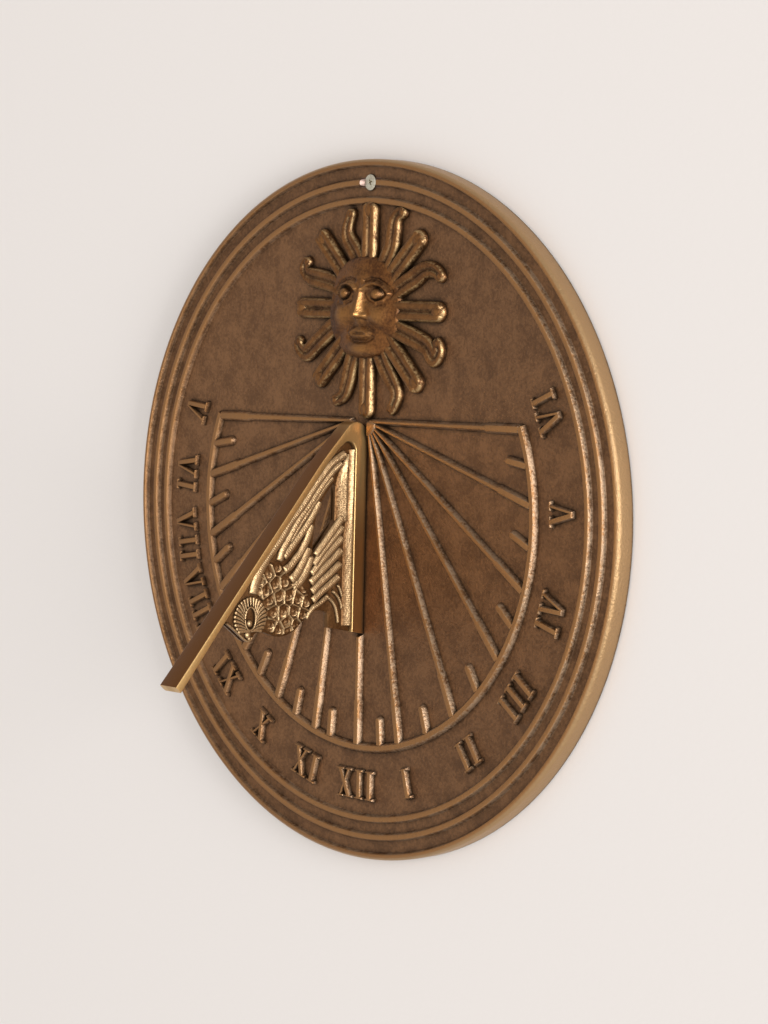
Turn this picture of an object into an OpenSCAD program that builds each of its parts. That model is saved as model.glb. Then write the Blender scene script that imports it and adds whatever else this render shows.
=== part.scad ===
// Wall sundial: a cast brass dial plate that hangs on one screw, with a separate
// cast gnomon held by two countersunk machine screws from behind.
// The wall is the plane y = 0, the dial faces -Y and +Z is up. The origin is the
// centre of the plate's back. Lengths are millimetres, angles are degrees.

/* [Plate] */
// Diameter of the dial plate
plate_d = 305; // [280:1:340]
// Height of the rim and of all raised work above the wall
plate_h = 9; // [8.5:0.5:12]
// Height of the raised work above the field
relief = 2.3; // [1.6:0.1:2.8]
// Thickness of the plate behind the field
plate_wall = 4.2; // [3.8:0.1:4.8]
// Width of the rim where it stands on the wall
rim_foot_w = 6; // [4:0.5:8]
// Radius of the rim's front outer edge
rim_round = 2.4; // [1:0.1:3]

/* [Rings] */
// Width of the rim's front face
rim_w = 3.5; // [3.2:0.1:5]
// Width of the outer groove
groove_outer_w = 4.7; // [3.5:0.1:6]
// Width of each of the two raised rings
ring_w = 3.8; // [3:0.1:5]
// Width of the inner groove
groove_inner_w = 4.0; // [3:0.1:5]
// Draft on each side wall of the rim and rings
ring_draft = 0.3; // [0.1:0.1:0.6]

/* [Hour lines] */
// Radius of the middle of the chapter arc
arc_r = 103.6; // [98:0.2:106]
// Width of the chapter arc and of the half-hour ticks
arc_w = 2.6; // [2:0.1:3.4]
// Width of an hour line where it leaves its fan's root
line_root_w = 1.0; // [0.6:0.1:1.6]
// Width of an hour line where it meets its thick end
line_w = 1.9; // [1.2:0.1:2.4]
// Width of the thick end of an hour line
line_end_w = 2.8; // [2.5:0.1:3.6]
// Length of the thick end, inwards from the chapter arc
line_end_l = 21; // [12:1:30]
// Length of a half-hour tick, inwards from the chapter arc
tick_l = 12; // [8:0.5:16]
// Height of the fans' roots above the plate's centre
fan_z = 39; // [34:0.5:44]
// Distance between the roots of the morning and afternoon fans
fan_gap = 10.2; // [9.6:0.1:12]
// Width of the rounded wedge that each fan leaves from
fan_wedge_w = 9.4; // [7:0.2:10.4]

/* [Sun] */
// Distance of the sun's centre to the right of the noon line
sun_x = 1.5; // [-3:0.5:3]
// Height of the sun's centre above the plate's centre
sun_z = 87.4; // [84:0.2:89]
// Radius of the circle through the tips of the rays
sun_r = 47.5; // [42:0.5:49]
// Width of a ray
ray_w = 8.2; // [6:0.1:9]
// Height of the rays above the field
ray_h = 3.2; // [2.6:0.1:3.6]
// Half the width of the face
face_w = 21.6; // [19:0.2:23]
// Height of the forehead above the sun's centre
face_up = 23.4; // [21:0.2:25]
// Depth of the chin below the sun's centre
face_down = 21.4; // [19:0.2:23]
// Height of the face's dome above the field
face_h = 6.4; // [5:0.1:7]

/* [Gnomon] */
// Distance of the gnomon's middle plane from the noon line, to the left
gnomon_shift = 2.1; // [0:0.1:3]
// Angle between the style and the plate
style_angle = 41.1; // [38:0.1:44]
// Where the style's outer line would meet the field, above the centre
style_root_z = 52.4; // [50:0.2:54]
// Reach of the style's tip out from the field
style_reach = 106.5; // [96:0.5:110]
// Thickness of the style bar, seen from the side
style_t = 3.1; // [2.6:0.1:4]
// Width of the style bar at its tip
style_tip_w = 11; // [9:0.2:13]
// Width of the foot and of the style at its root
foot_w = 7; // [6.8:0.1:8]
// Depth of the foot out from the field
foot_t = 6.8; // [6.4:0.1:8]
// Radius of the outer corner that joins style and foot
apex_r = 8.1; // [7:0.1:9]
// Radius of the inner corner of the frame
apex_inner_r = 5.6; // [4.5:0.1:6.2]
// Depth below the centre of the foot's lower end, at the field
foot_end_z = 53.8; // [52:0.2:56]
// Thickness of the web that fills the frame
web_t = 3; // [2.4:0.1:3.4]
// Height of the feathers above each side of the web
feather_h = 1.2; // [0.8:0.1:1.5]

/* [Fasteners] */
// Radius of the wall screw's threaded part
wall_screw_r = 1.75; // [1.5:0.05:2]
// Length of the wall screw
wall_screw_l = 40; // [35:1:50]
// Diameter of the wall screw's head
wall_head_d = 6.8; // [6.4:0.1:7.4]
// Clearance of the wall screw's neck in the hanging hole
hang_clear = 0.7; // [0.4:0.05:0.9]
// Width of the countersink's flank, seen from the front
hang_flank = 2.85; // [2.4:0.05:3.1]
// Radius of the gnomon screws
gnomon_screw_r = 2; // [1.9:0.05:2.1]
// Diameter of the gnomon screws' heads
gnomon_head_d = 7.5; // [7:0.1:8]
// Length of thread in the foot
gnomon_thread_l = 5; // [4:0.1:5.5]
// Height of the upper gnomon screw above the centre
screw_high_z = 20; // [14:1:24]
// Depth of the lower gnomon screw below the centre
screw_low_z = 40; // [34:1:44]
// Radial clearance round a screw in its hole
screw_gap = 0.05; // [0.03:0.01:0.08]

/* [Hidden] */
$fn = 96;
plate_r = plate_d / 2;
field_h = plate_h - relief;
floor_h = field_h - plate_wall;
hollow_r = plate_r - rim_foot_w;
ring2_out = plate_r - rim_w - groove_outer_w;
ring3_out = ring2_out - ring_w - groove_inner_w;
ring3_in = ring3_out - ring_w;
arc_in = arc_r - arc_w / 2;
arc_out = arc_r + arc_w / 2;
hang_z = ring2_out - ring_w / 2;
wall_neck_r = wall_screw_r - 0.2;
hang_hole_r = wall_neck_r + hang_clear;
hang_mouth_r = hang_hole_r + hang_flank;
hang_boss_r = hang_mouth_r + 1.9;
wall_tip_l = 5;
wall_tip_r = 0.3;
// Free space between the wall and the start of the screw's thread
wall_thread_gap = 1;
// Cylindrical edge of a countersunk head
head_edge = 0.3;
// Width, length and depth of the wall screw's cross recess
cross_w = 0.9;
cross_l = 3.8;
cross_t = 1.6;
// Width and depth of the slot in a gnomon screw
drive_w = 1;
drive_t = 0.9;
// Outline of an afternoon fan's wedge, as parts of its width from the gnomon's side and the root
fan_wedge = [
    [0, -0.06], [0.07, 0.05], [0.26, 0.1], [0.53, 0.1], [0.81, 0.06], [0.97, -0.06], [1, -0.26],
    [0.89, -0.53], [0.73, -0.81], [0.51, -0.98], [0.26, -1.06], [0.05, -1.02], [0, -0.81]
];
// Free space between the gnomon and the raised work round it
foot_gap = 0.3;
noon_top_z = -foot_end_z - foot_gap;
// How far the fused work is sunk into what carries it
root = 0.6;
// Angles below the horizontal of the hour lines, from the six-o'clock side to noon
morning_angles = [1.3, 17, 31, 43, 57, 70, 81.5];
afternoon_angles = [-0.7, 16.8, 34.4, 49.2, 65.2, 80.4];
// Which way each wavy ray's tip hooks, from the ray right of noon, clockwise
wave_swing = [1, 1, -1, 1, 1, 1, 1, 1];
// Place of the face's middle to the left of the sun's centre, and the radius of its dome
face_shift = 1.8;
dome_r = 114;
// Depth of the nose's wedge and distance of each eye from the middle of the face
nose_h = 3;
eye_x = 9.4;
// Inner ends of the straight and of the wavy rays
ray_start = 16;
wave_start = 18;
// Groove along the middle of a straight ray
groove_w = 1.2;
groove_t = 1;
// Sideways swing of a wavy ray and of its hooked tip
wave_h = 2.4;
hook_h = 3.6;
// Slope of the style's outer line and unit vectors along and out of it, as [out, up]
style_slope = 1 / tan(style_angle);
along = [sin(style_angle), -cos(style_angle)];
outward = [cos(style_angle), sin(style_angle)];
style_l = style_reach / sin(style_angle);
half_corner = 1 / tan(style_angle / 2);
gnomon_web_top = web_t / 2 + feather_h;
// Height of the style's inner line above the foot's front face
inner_root_z = style_root_z - style_t / sin(style_angle) - foot_t * style_slope;
// Rise of the foot's lower end, per unit of its depth
foot_slope = 0.18;
// Places in the bird panel, as [out, up]
head_c = [63, -41.5];
head_r = 9.3;
eye_c = [64.1, -43.8];
beak = [64.3, -53.2];
// Lower edge of the panel, from the style past the beak and the body to the foot
under_edge = [
    [79.2, -43.9], [72, -49.2], [66.2, -54], [63, -54.6], [61.6, -52.4], [60, -50],
    [55.6, -50.2], [51.6, -51.7], [46.6, -52.6], [41.8, -51.9], [37.2, -49.6], [33.6, -46.6],
    [30.4, -44], [26.8, -42.5], [21.4, -43], [19.4, -45], [19.3, -foot_end_z + foot_slope * 19.3]
];
// Slot between the long and the short feathers
slot_edge = [
    [17.6, 12.7], [16.2, 8], [16.3, -3.2], [21.5, -9.8], [26.4, -17.4], [29.2, -16],
    [28.6, -7.3], [25.2, 3.8]
];
// Plain raised band between the slot and the foot
band_edge = [
    [10.5, 25.2], [11.2, 25.2], [14, 19.6], [16.6, 12.6], [16.2, 8], [16.3, -3.2], [14, -4.4],
    [11, -3.5], [11, 5], [11.1, 12], [11.2, 18.4]
];
// Sloped strip along the foot, and how far its bead stands out from the foot
strip_w = 2.4;
strip_z = [-50, 27];
// Middle lines of the long feathers, from the body up to the apex
long_feathers = [
    [[60, -33], [57, -22.5], [51, -14.5], [43, -4], [34.5, 4.5], [27, 13.5], [19.5, 21], [11.5, 25.3]],
    [[48.2, -20], [43.5, -11], [37, -2], [28, 8], [20, 16.5], [13.5, 21.4]],
    [[42.5, -12], [37, -4.5], [30, 3.8], [24, 10.5], [19, 15.2]],
    [[45.8, -18.6], [37.5, -10], [30.5, -2], [26, 5]],
    [[45.5, -24.3], [38.5, -19], [34, -13.5], [30, -5.2]],
    [[41.5, -28.8], [36, -23], [31.3, -14.8]],
    [[40.5, -32], [34.5, -27.5], [29.8, -18.5]]
];
long_w = 2.5;
// Middle lines of the short feathers, from the body to the foot, and of the leg
short_feathers = [
    [[26.2, -17.6], [20.5, -11.2], [14.5, -4]],
    [[29, -25], [23.5, -17.2], [13.6, -8]],
    [[30.6, -29.4], [24.5, -24], [14.3, -15.3]],
    [[30.5, -33.6], [23.5, -28], [14.2, -21.6]],
    [[28.8, -38.2], [20.5, -33], [16.2, -29.6]],
    [[31, -43.4], [28.5, -41.2], [19.5, -36]],
    [[17, -33], [12.8, -38.5], [11.5, -44]]
];
short_w = 3.1;
// Middles of the overlapping scales of the body, their outer radius and the width of their rims
scale_places = [
    [49, -22.8], [54.2, -25.2], [50.4, -29.8], [55.6, -32.2], [44.7, -29.2], [53.4, -36.6],
    [47.8, -35.4], [42.6, -35.4], [37.2, -37], [32.4, -38.6], [51.2, -42.2], [45.6, -42],
    [39.3, -42.2], [34.4, -43.6], [33.9, -32.4], [52.6, -47], [48.4, -49.6], [43.3, -46.3],
    [38.4, -48.3]
];
scale_r = 2.9;
scale_rim = 1;

// Points of an arc about c, from angle a to angle b
function arc_points(c, r, a, b, n = 8) =
    [for (i = [0:n]) c + r * [cos(a + (b - a) * i / n), sin(a + (b - a) * i / n)]];

// Outline of a feather, w wide along a middle line of points, with a round tip at its end
function feather_points(line, w) =
    let (
        last = len(line) - 1,
        ways = [for (i = [0:last]) line[min(i + 1, last)] - line[max(i - 1, 0)]],
        sides = [for (d = ways) [-d[1], d[0]] / norm(d) * w / 2],
        tip_a = atan2(ways[last][1], ways[last][0])
    )
    concat(
        [for (i = [0:last]) line[i] + sides[i]],
        [for (a = [60, 30, 0, -30, -60]) line[last] + w / 2 * [cos(tip_a + a), sin(tip_a + a)]],
        [for (i = [last:-1:0]) line[i] - sides[i]]
    );

// Sideways place of a wavy ray's centre line at the fraction t of its length
function wave(t) = wave_h * sin(330 * t - 130) - hook_h * pow(t, 8);

// Outline of one wavy ray that points along +X
function wave_points(inner, outer, w, swing, n = 14) =
    let (
        run = outer - inner - w / 2,
        near = [for (i = [0:n]) [inner + run * i / n, swing * wave(i / n) + w / 2 * (1 - 0.25 * i / n)]],
        far = [for (i = [n:-1:0]) [inner + run * i / n, swing * wave(i / n) - w / 2 * (1 - 0.25 * i / n)]],
        tip = [for (a = [60, 30, 0, -30, -60])
            [inner + run, swing * wave(1)] + 0.375 * w * [cos(a), sin(a)]]
    )
    concat(near, tip, far);

// Raises a flat outline, drawn as seen from the front, from height h0 to height h1
module raised(h0, h1) {
    translate([0, -h0, 0]) rotate([90, 0, 0]) linear_extrude(h1 - h0) children();
}

// Turns a form made about +Z so that it points out of the dial
module facing() {
    rotate([90, 0, 0]) children();
}

// A bar that runs along +X from w0 wide to w1 wide
module taper_bar(length, w0, w1) {
    polygon([[0, -w0 / 2], [length, -w1 / 2], [length, w1 / 2], [0, w0 / 2]]);
}

// Body, rim and rings as one turned profile, with the hollow back
module plate_turning() {
    d = ring_draft;
    facing() rotate_extrude($fn = 180) polygon(concat(
        [[hollow_r, 0], [plate_r, 0]],
        arc_points([plate_r - rim_round, plate_h - rim_round], rim_round, 0, 90, 6),
        [
            [plate_r - rim_w + d, plate_h], [plate_r - rim_w, field_h],
            [ring2_out, field_h], [ring2_out - d, plate_h],
            [ring2_out - ring_w + d, plate_h], [ring2_out - ring_w, field_h],
            [ring3_out, field_h], [ring3_out - d, plate_h],
            [ring3_in + d, plate_h], [ring3_in, field_h],
            [0, field_h], [0, floor_h], [hollow_r - floor_h / 2, floor_h], [hollow_r, floor_h / 2]
        ]
    ));
}

// Root of one side's fan of hour lines; side is 1 for the afternoon
function fan_root(side) = [side * fan_gap / 2 - gnomon_shift, fan_z];

// Direction of an hour line, in degrees from +X
function turned(side, angle) = side > 0 ? -angle : 180 + angle;

// One hour line from its fan's root to the chapter arc, flat as seen from the front
module hour_line(side, angle) {
    intersection() {
        circle(arc_r);
        translate(fan_root(side)) rotate(turned(side, angle))
            taper_bar(2 * arc_r, line_root_w, 2 * line_w - line_root_w);
    }
    intersection() {
        difference() {
            circle(arc_r);
            circle(arc_in - line_end_l);
        }
        translate(fan_root(side)) rotate(turned(side, angle))
            taper_bar(2 * arc_r, line_end_w, line_end_w);
    }
}

// One half-hour tick with a round inner end
module half_hour_tick(side, angle) {
    from = fan_root(side);
    dir = [cos(turned(side, angle)), sin(turned(side, angle))];
    // distance from the fan's root to the arc along this direction
    b = from * dir;
    reach = sqrt(b * b - from * from + arc_r * arc_r) - b;
    translate(from + dir * (reach - tick_l)) rotate(turned(side, angle)) {
        translate([0, -arc_w / 2]) square([tick_l, arc_w]);
        circle(arc_w / 2, $fn = 24);
    }
}

// The chapter arc, from the morning's first line round the bottom to the evening's last
module chapter_arc() {
    z_left = fan_z - (arc_r - fan_gap) * tan(morning_angles[0]);
    z_right = fan_z - (arc_r - fan_gap) * tan(afternoon_angles[0]);
    cut = line_end_w / 2;
    difference() {
        circle(arc_out);
        circle(arc_in);
        polygon([
            [-plate_r, z_left + cut], [0, fan_z + cut], [plate_r, z_right + cut],
            [plate_r, plate_r], [-plate_r, plate_r]
        ]);
    }
}

module noon_line() {
    translate([-line_w / 2, -arc_in + line_end_l / 2])
        square([line_w, arc_in - line_end_l / 2 + noon_top_z]);
    translate([-line_end_w / 2, -arc_r]) square([line_end_w, arc_w / 2 + line_end_l]);
}

// Rounded wedge beside the gnomon; side is 1 for the afternoon
module fan_root_wedge(side) {
    translate([side * (foot_w / 2 + foot_gap) - gnomon_shift, fan_z])
        polygon([for (p = fan_wedge) [side * p[0], p[1]] * fan_wedge_w]);
}

// All hour work of the dial, raised in one piece
module dial_work() {
    raised(field_h - root, plate_h) {
        chapter_arc();
        noon_line();
        for (a = morning_angles) hour_line(-1, a);
        for (a = afternoon_angles) hour_line(1, a);
        for (i = [0:len(morning_angles) - 2])
            half_hour_tick(-1, (morning_angles[i] + morning_angles[i + 1]) / 2);
        for (i = [0:len(afternoon_angles) - 2])
            half_hour_tick(1, (afternoon_angles[i] + afternoon_angles[i + 1]) / 2);
        half_hour_tick(-1, (morning_angles[len(morning_angles) - 1] + 90) / 2);
        half_hour_tick(1, (afternoon_angles[len(afternoon_angles) - 1] + 90) / 2);
        for (side = [-1, 1]) fan_root_wedge(side);
    }
}

// Straight ray along +X with a round tip and a groove down its middle
module straight_ray() {
    run = sun_r - ray_w / 2 - ray_start;
    difference() {
        raised(field_h - root, field_h + ray_h) {
            translate([ray_start, -ray_w / 2]) square([run, ray_w]);
            translate([ray_start + run, 0]) circle(ray_w / 2, $fn = 32);
        }
        raised(field_h + ray_h - groove_t, plate_h + ray_h) translate([ray_start, -groove_w / 2])
            square([run, groove_w]);
    }
}

module wavy_ray(swing) {
    raised(field_h - root, field_h + ray_h)
        polygon(wave_points(wave_start, sun_r, ray_w, swing));
}

// Dome of the face with forehead, brows, eyes, nose, lips and chin
module sun_face() {
    top = root + face_h;
    facing() translate([0, 0, field_h - root]) {
        intersection() {
            translate([0, 0, top - dome_r]) sphere(dome_r);
            linear_extrude(top) polygon([
                for (a = [0:10:350]) [face_w * cos(a), (a < 180 ? face_up : face_down) * sin(a)]
            ]);
        }
        // nose, which widens and rises towards its tip
        translate([-1.5, -3.2, top - nose_h]) rotate([-7, 0, 0]) cube([3, 13.5, nose_h]);
        translate([0, -2.8, top - 1.4]) sphere(2.4, $fn = 40);
        for (side = [-1, 1]) {
            translate([side * 2.6, -3.4, top - 1.8]) sphere(1.9, $fn = 32);
            // eye under a brow
            translate([side * eye_x, 6.9, top - 1.9]) sphere(2.6, $fn = 40);
            translate([side * eye_x, 6.2, top - 1.2]) rotate_extrude(angle = 180, $fn = 40)
                translate([5.4, 0]) circle(1, $fn = 16);
        }
        for (z = [-9, -12]) translate([-5, z, top - 1.6]) rotate([0, 90, 0])
            cylinder(h = 10, r = 1.3, $fn = 24);
        translate([0, -17, top - 3.2]) sphere(3.4, $fn = 40);
    }
}

module sun() {
    translate([sun_x, 0, sun_z]) {
        for (i = [0:7]) rotate([0, -45 * i, 0]) straight_ray();
        for (i = [0:7]) rotate([0, 45 * i - 67.5, 0]) wavy_ray(wave_swing[i]);
        translate([-face_shift, 0, 0]) sun_face();
    }
}

// Clearance hole and countersink, cut from behind, for a gnomon screw
module gnomon_screw_cut(z) {
    head_r = gnomon_head_d / 2 + screw_gap;
    shank_r = gnomon_screw_r + screw_gap;
    translate([-gnomon_shift, 0, z]) facing() {
        cylinder(h = plate_h, r = shank_r, $fn = 48);
        translate([0, 0, -1]) cylinder(h = 1 + floor_h + head_edge, r = head_r, $fn = 48);
        translate([0, 0, floor_h + head_edge])
            cylinder(h = head_r - shank_r, r1 = head_r, r2 = shank_r, $fn = 48);
    }
}

module dial_plate() {
    color("#7a5530") difference() {
        union() {
            plate_turning();
            dial_work();
            sun();
            translate([0, 0, hang_z]) facing() cylinder(h = field_h, r = hang_boss_r, $fn = 48);
        }
        translate([0, 0, hang_z]) facing() {
            translate([0, 0, -1]) cylinder(h = plate_h + 2, r = hang_hole_r, $fn = 48);
            translate([0, 0, plate_h - (hang_mouth_r - hang_hole_r)])
                cylinder(h = hang_mouth_r - hang_hole_r + 1, r1 = hang_hole_r,
                    r2 = hang_mouth_r + 1, $fn = 48);
        }
        gnomon_screw_cut(screw_high_z);
        gnomon_screw_cut(-screw_low_z);
    }
}

// Draws a gnomon outline in [out, up] and gives it the width w about the middle plane
module gnomon_slab(w) {
    translate([-gnomon_shift, -field_h, 0]) rotate([90, 0, -90])
        linear_extrude(w, center = true) children();
}

// A point on the style's line, s along it and t inwards from its outer face
function style_point(s, t) = [0, style_root_z] + along * s - outward * t;

// Outline of the frame: style, round apex and foot, drawn as one closed bend
module frame_outline() {
    outer_c = [apex_r, style_root_z - apex_r * half_corner];
    inner_c = [foot_t + apex_inner_r, inner_root_z - apex_inner_r * half_corner];
    polygon(concat(
        [[0, -foot_end_z]],
        arc_points(outer_c, apex_r, 180, style_angle, 10),
        [style_point(style_l, 0), style_point(style_l, style_t)],
        arc_points(inner_c, apex_inner_r, style_angle, 180, 8),
        [[foot_t, -foot_end_z + foot_slope * foot_t]]
    ));
}

// The web under the frame and round the bird, with the pierced slot
module web_outline() {
    difference() {
        polygon(concat(
            [[foot_t / 2, -foot_end_z + foot_slope * foot_t / 2], [foot_t / 2, 33]],
            [style_point(24, style_t / 2), style_point(124, style_t / 2)],
            under_edge
        ));
        polygon(slot_edge);
    }
}

// Long feathers sweep up to the apex and short ones reach the foot
module feathers() {
    gnomon_slab(2 * gnomon_web_top) {
        for (line = long_feathers) polygon(feather_points(line, long_w));
        for (line = short_feathers) polygon(feather_points(line, short_w));
        polygon(band_edge);
        translate([foot_t - root, strip_z[0]]) square([root + strip_w, strip_z[1] - strip_z[0]]);
    }
}

// Overlapping round scales over the body
module scales() {
    gnomon_slab(2 * gnomon_web_top) intersection() {
        web_outline();
        for (c = scale_places) translate(c) difference() {
            circle(scale_r, $fn = 32);
            circle(scale_r - scale_rim, $fn = 32);
        }
    }
}

// Round head with radial plumes about a long eye, and a small beak
module bird_head() {
    plumes = 22;
    gnomon_slab(2 * gnomon_web_top) {
        translate(head_c) for (i = [0:plumes - 1]) rotate(360 / plumes * i)
            polygon([[4.6, -0.35], [head_r, -0.75], [head_r + 0.5, 0], [head_r, 0.75], [4.6, 0.35]]);
        translate(eye_c) rotate(90) difference() {
            intersection() {
                translate([0, 3.4]) circle(6.6, $fn = 48);
                translate([0, -3.4]) circle(6.6, $fn = 48);
            }
            circle(2.2, $fn = 32);
        }
        translate(eye_c) circle(1.2, $fn = 24);
        translate(beak + [0, 1.6]) circle(2.1, $fn = 32);
    }
}

module gnomon() {
    tip_s = style_l + style_t;
    color("#a5793f") difference() {
        union() {
            intersection() {
                gnomon_slab(style_tip_w + 1) frame_outline();
                union() {
                    // straight part of the foot and the apex
                    translate([-gnomon_shift - foot_w / 2, -field_h - 2 * apex_r, -foot_end_z])
                        cube([foot_w, 2 * apex_r, foot_end_z + style_root_z]);
                    // tapered part, drawn square to the style's outer face
                    translate([-gnomon_shift, -field_h, style_root_z]) rotate([-style_angle, 0, 0])
                        translate([0, style_t + 4, 0]) rotate([90, 0, 0])
                        linear_extrude(style_t + 8) polygon([
                            [-foot_w / 2, -14], [foot_w / 2, -14],
                            [style_tip_w / 2, -tip_s], [-style_tip_w / 2, -tip_s]
                        ]);
                }
            }
            gnomon_slab(web_t) web_outline();
            feathers();
            scales();
            bird_head();
        }
        for (z = [screw_high_z, -screw_low_z]) translate([-gnomon_shift, -field_h, z]) facing()
            translate([0, 0, -1])
            cylinder(h = gnomon_thread_l + 1.5, r = gnomon_screw_r + screw_gap, $fn = 48);
    }
}

// Countersunk machine screw whose head lies level with the floor of the hollow back
module gnomon_screw(z) {
    head_r = gnomon_head_d / 2;
    color("#b9b3a2") translate([-gnomon_shift, 0, z]) facing() difference() {
        union() {
            translate([0, 0, floor_h]) cylinder(h = head_edge, r = head_r, $fn = 48);
            translate([0, 0, floor_h + head_edge])
                cylinder(h = head_r - gnomon_screw_r, r1 = head_r, r2 = gnomon_screw_r, $fn = 48);
            translate([0, 0, floor_h]) cylinder(h = field_h - floor_h + gnomon_thread_l,
                r = gnomon_screw_r, $fn = 48);
        }
        translate([-head_r, -drive_w / 2, floor_h - 1])
            cube([2 * head_r, drive_w, 1 + drive_t]);
    }
}

module gnomon_screw_upper() { gnomon_screw(screw_high_z); }

module gnomon_screw_lower() { gnomon_screw(-screw_low_z); }

// Countersunk screw that holds the dial on the wall, seated on its cone
module wall_screw() {
    head_r = wall_head_d / 2;
    cone_l = head_r - wall_neck_r;
    cone_h = plate_h - hang_mouth_r + screw_gap + wall_neck_r;
    face_h0 = cone_h + cone_l + head_edge;
    color("#c9c6bc") translate([0, 0, hang_z]) facing() difference() {
        union() {
            translate([0, 0, face_h0 - head_edge]) cylinder(h = head_edge, r = head_r, $fn = 48);
            translate([0, 0, cone_h]) cylinder(h = cone_l, r1 = wall_neck_r, r2 = head_r, $fn = 48);
            translate([0, 0, -wall_thread_gap])
                cylinder(h = face_h0, r = wall_neck_r, $fn = 48);
            translate([0, 0, face_h0 - wall_screw_l + wall_tip_l])
                cylinder(h = wall_screw_l - wall_tip_l - face_h0 - wall_thread_gap,
                    r = wall_screw_r, $fn = 48);
            translate([0, 0, face_h0 - wall_screw_l])
                cylinder(h = wall_tip_l, r1 = wall_tip_r, r2 = wall_screw_r, $fn = 48);
        }
        for (a = [0, 90]) rotate(a) translate([-cross_l / 2, -cross_w / 2, face_h0 - cross_t])
            cube([cross_l, cross_w, cross_t + 1]);
    }
}

dial_plate();
gnomon();
gnomon_screw_upper();
gnomon_screw_lower();
wall_screw();
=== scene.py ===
"""Looks of a cast brass wall sundial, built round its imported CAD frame.

The dial faces -Y, +Z is up and the wall is the plane y = 0. Shapes are made in
millimetres on two drawing planes, the dial's face and the side of the gnomon's panel,
and are then stood in place. Every finished piece is in metres with its place in its mesh.
"""

import logging
import math
from dataclasses import dataclass, replace
from enum import Enum
from typing import Callable, Sequence

import bmesh
import bpy
from mathutils import Matrix, Vector


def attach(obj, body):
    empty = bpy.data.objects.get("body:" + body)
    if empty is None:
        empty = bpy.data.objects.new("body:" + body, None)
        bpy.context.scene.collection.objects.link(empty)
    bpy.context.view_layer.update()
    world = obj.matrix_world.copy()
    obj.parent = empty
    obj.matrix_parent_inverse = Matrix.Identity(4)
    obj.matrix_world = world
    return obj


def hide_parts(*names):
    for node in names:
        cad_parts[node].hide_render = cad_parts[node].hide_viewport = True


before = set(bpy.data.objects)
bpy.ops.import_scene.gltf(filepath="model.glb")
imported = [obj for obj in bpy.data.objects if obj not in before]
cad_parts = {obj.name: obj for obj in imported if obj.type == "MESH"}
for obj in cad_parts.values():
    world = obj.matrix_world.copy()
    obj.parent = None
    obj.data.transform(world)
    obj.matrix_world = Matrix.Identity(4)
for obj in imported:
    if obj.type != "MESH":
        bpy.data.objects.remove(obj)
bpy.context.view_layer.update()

LOG = logging.getLogger("sundial")
Point = tuple[float, float]
Section = Sequence[Point]

FIELD = 6.7  # height of the dial's field above the wall, mm
TOP = 9.0  # height of the rim, rings and raised work above the wall, mm
SHIFT = 2.1  # distance of the gnomon's middle plane to the left of noon, mm
MM = 0.001
RIM_EDGE = (0.1508, 0.1519)  # radii between which the face turns into the rim's side, m
STYLE_WAY = (0.0, -0.7536, 0.6574)  # direction that the style's outer face looks in


class Slot(Enum):
    """The record's material slots."""

    PLATE = "plate_brass"
    GNOMON = "gnomon_brass"
    SCREW = "screw_steel"
    ZINC = "zinc_steel"


class Side(Enum):
    """The half of the dial that a fan of hour lines is on."""

    MORNING = -1
    AFTERNOON = 1


class Accent(Enum):
    """Where a brass finish has its second tone."""

    NONE = "none"
    RIM_SIDE = "rim_side"
    STYLE_FACE = "style_face"


class Stroke(Enum):
    """The strokes that Roman hour numerals are cut from."""

    STEM = "stem"
    THICK = "thick"
    THIN = "thin"


@dataclass(frozen=True)
class Trail:
    """A smooth curve through points on a drawing plane."""

    points: tuple[Point, ...]

    def at(self, t: float) -> Vector:
        """Gives the place at a fraction of the curve.

        Args:
            t: Fraction of the way along, from 0 to 1.

        Returns:
            The point on the drawing plane.
        """
        last = len(self.points) - 1
        i = min(int(t * last), last - 1)
        f = t * last - i
        p1, p2 = Vector(self.points[i]), Vector(self.points[i + 1])
        p0 = Vector(self.points[i - 1]) if i > 0 else p1 * 2 - p2
        p3 = Vector(self.points[i + 2]) if i + 2 <= last else p2 * 2 - p1
        return 0.5 * (2 * p1 + (p2 - p0) * f + (2 * p0 - 5 * p1 + 4 * p2 - p3) * f * f
                      + (3 * p1 - p0 - 3 * p2 + p3) * f ** 3)

    def left(self, t: float) -> Vector:
        """Gives the unit vector to the left of the curve's direction at t."""
        d = self.at(min(t + 0.01, 1)) - self.at(max(t - 0.01, 0))
        return Vector((-d.y, d.x)).normalized()

    def length(self) -> float:
        """Gives the curve's length in millimetres."""
        steps = 40
        return sum((self.at((i + 1) / steps) - self.at(i / steps)).length for i in range(steps))


def lerp(a: float, b: float, t: float) -> float:
    """Blends from a to b as t goes from 0 to 1."""
    return a + (b - a) * t


def smooth(t: float) -> float:
    """Eases a value from 0 to 1, flat at both ends."""
    t = max(0.0, min(1.0, t))
    return t * t * (3 - 2 * t)


def bow(start: Point, end: Point, rise: float, count: int = 7) -> Trail:
    """Makes a trail between two points that bows to its left.

    Args:
        start: First point.
        end: Last point.
        rise: Distance of the bow's middle from the straight line.
        count: Number of points on the trail.

    Returns:
        The trail.
    """
    p, q = Vector(start), Vector(end)
    d = q - p
    side = Vector((-d.y, d.x)).normalized()
    places = [p + d * t + side * rise * 4 * t * (1 - t) for t in (i / (count - 1) for i in range(count))]
    return Trail(tuple((v.x, v.y) for v in places))


def close_holes(bm: bmesh.types.BMesh) -> None:
    """Fills every open border of a mesh, such as the underside of a relief.

    Args:
        bm: Mesh to close.
    """
    border = [e for e in bm.edges if e.is_boundary]
    if border:
        bmesh.ops.edgeloop_fill(bm, edges=border)


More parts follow.
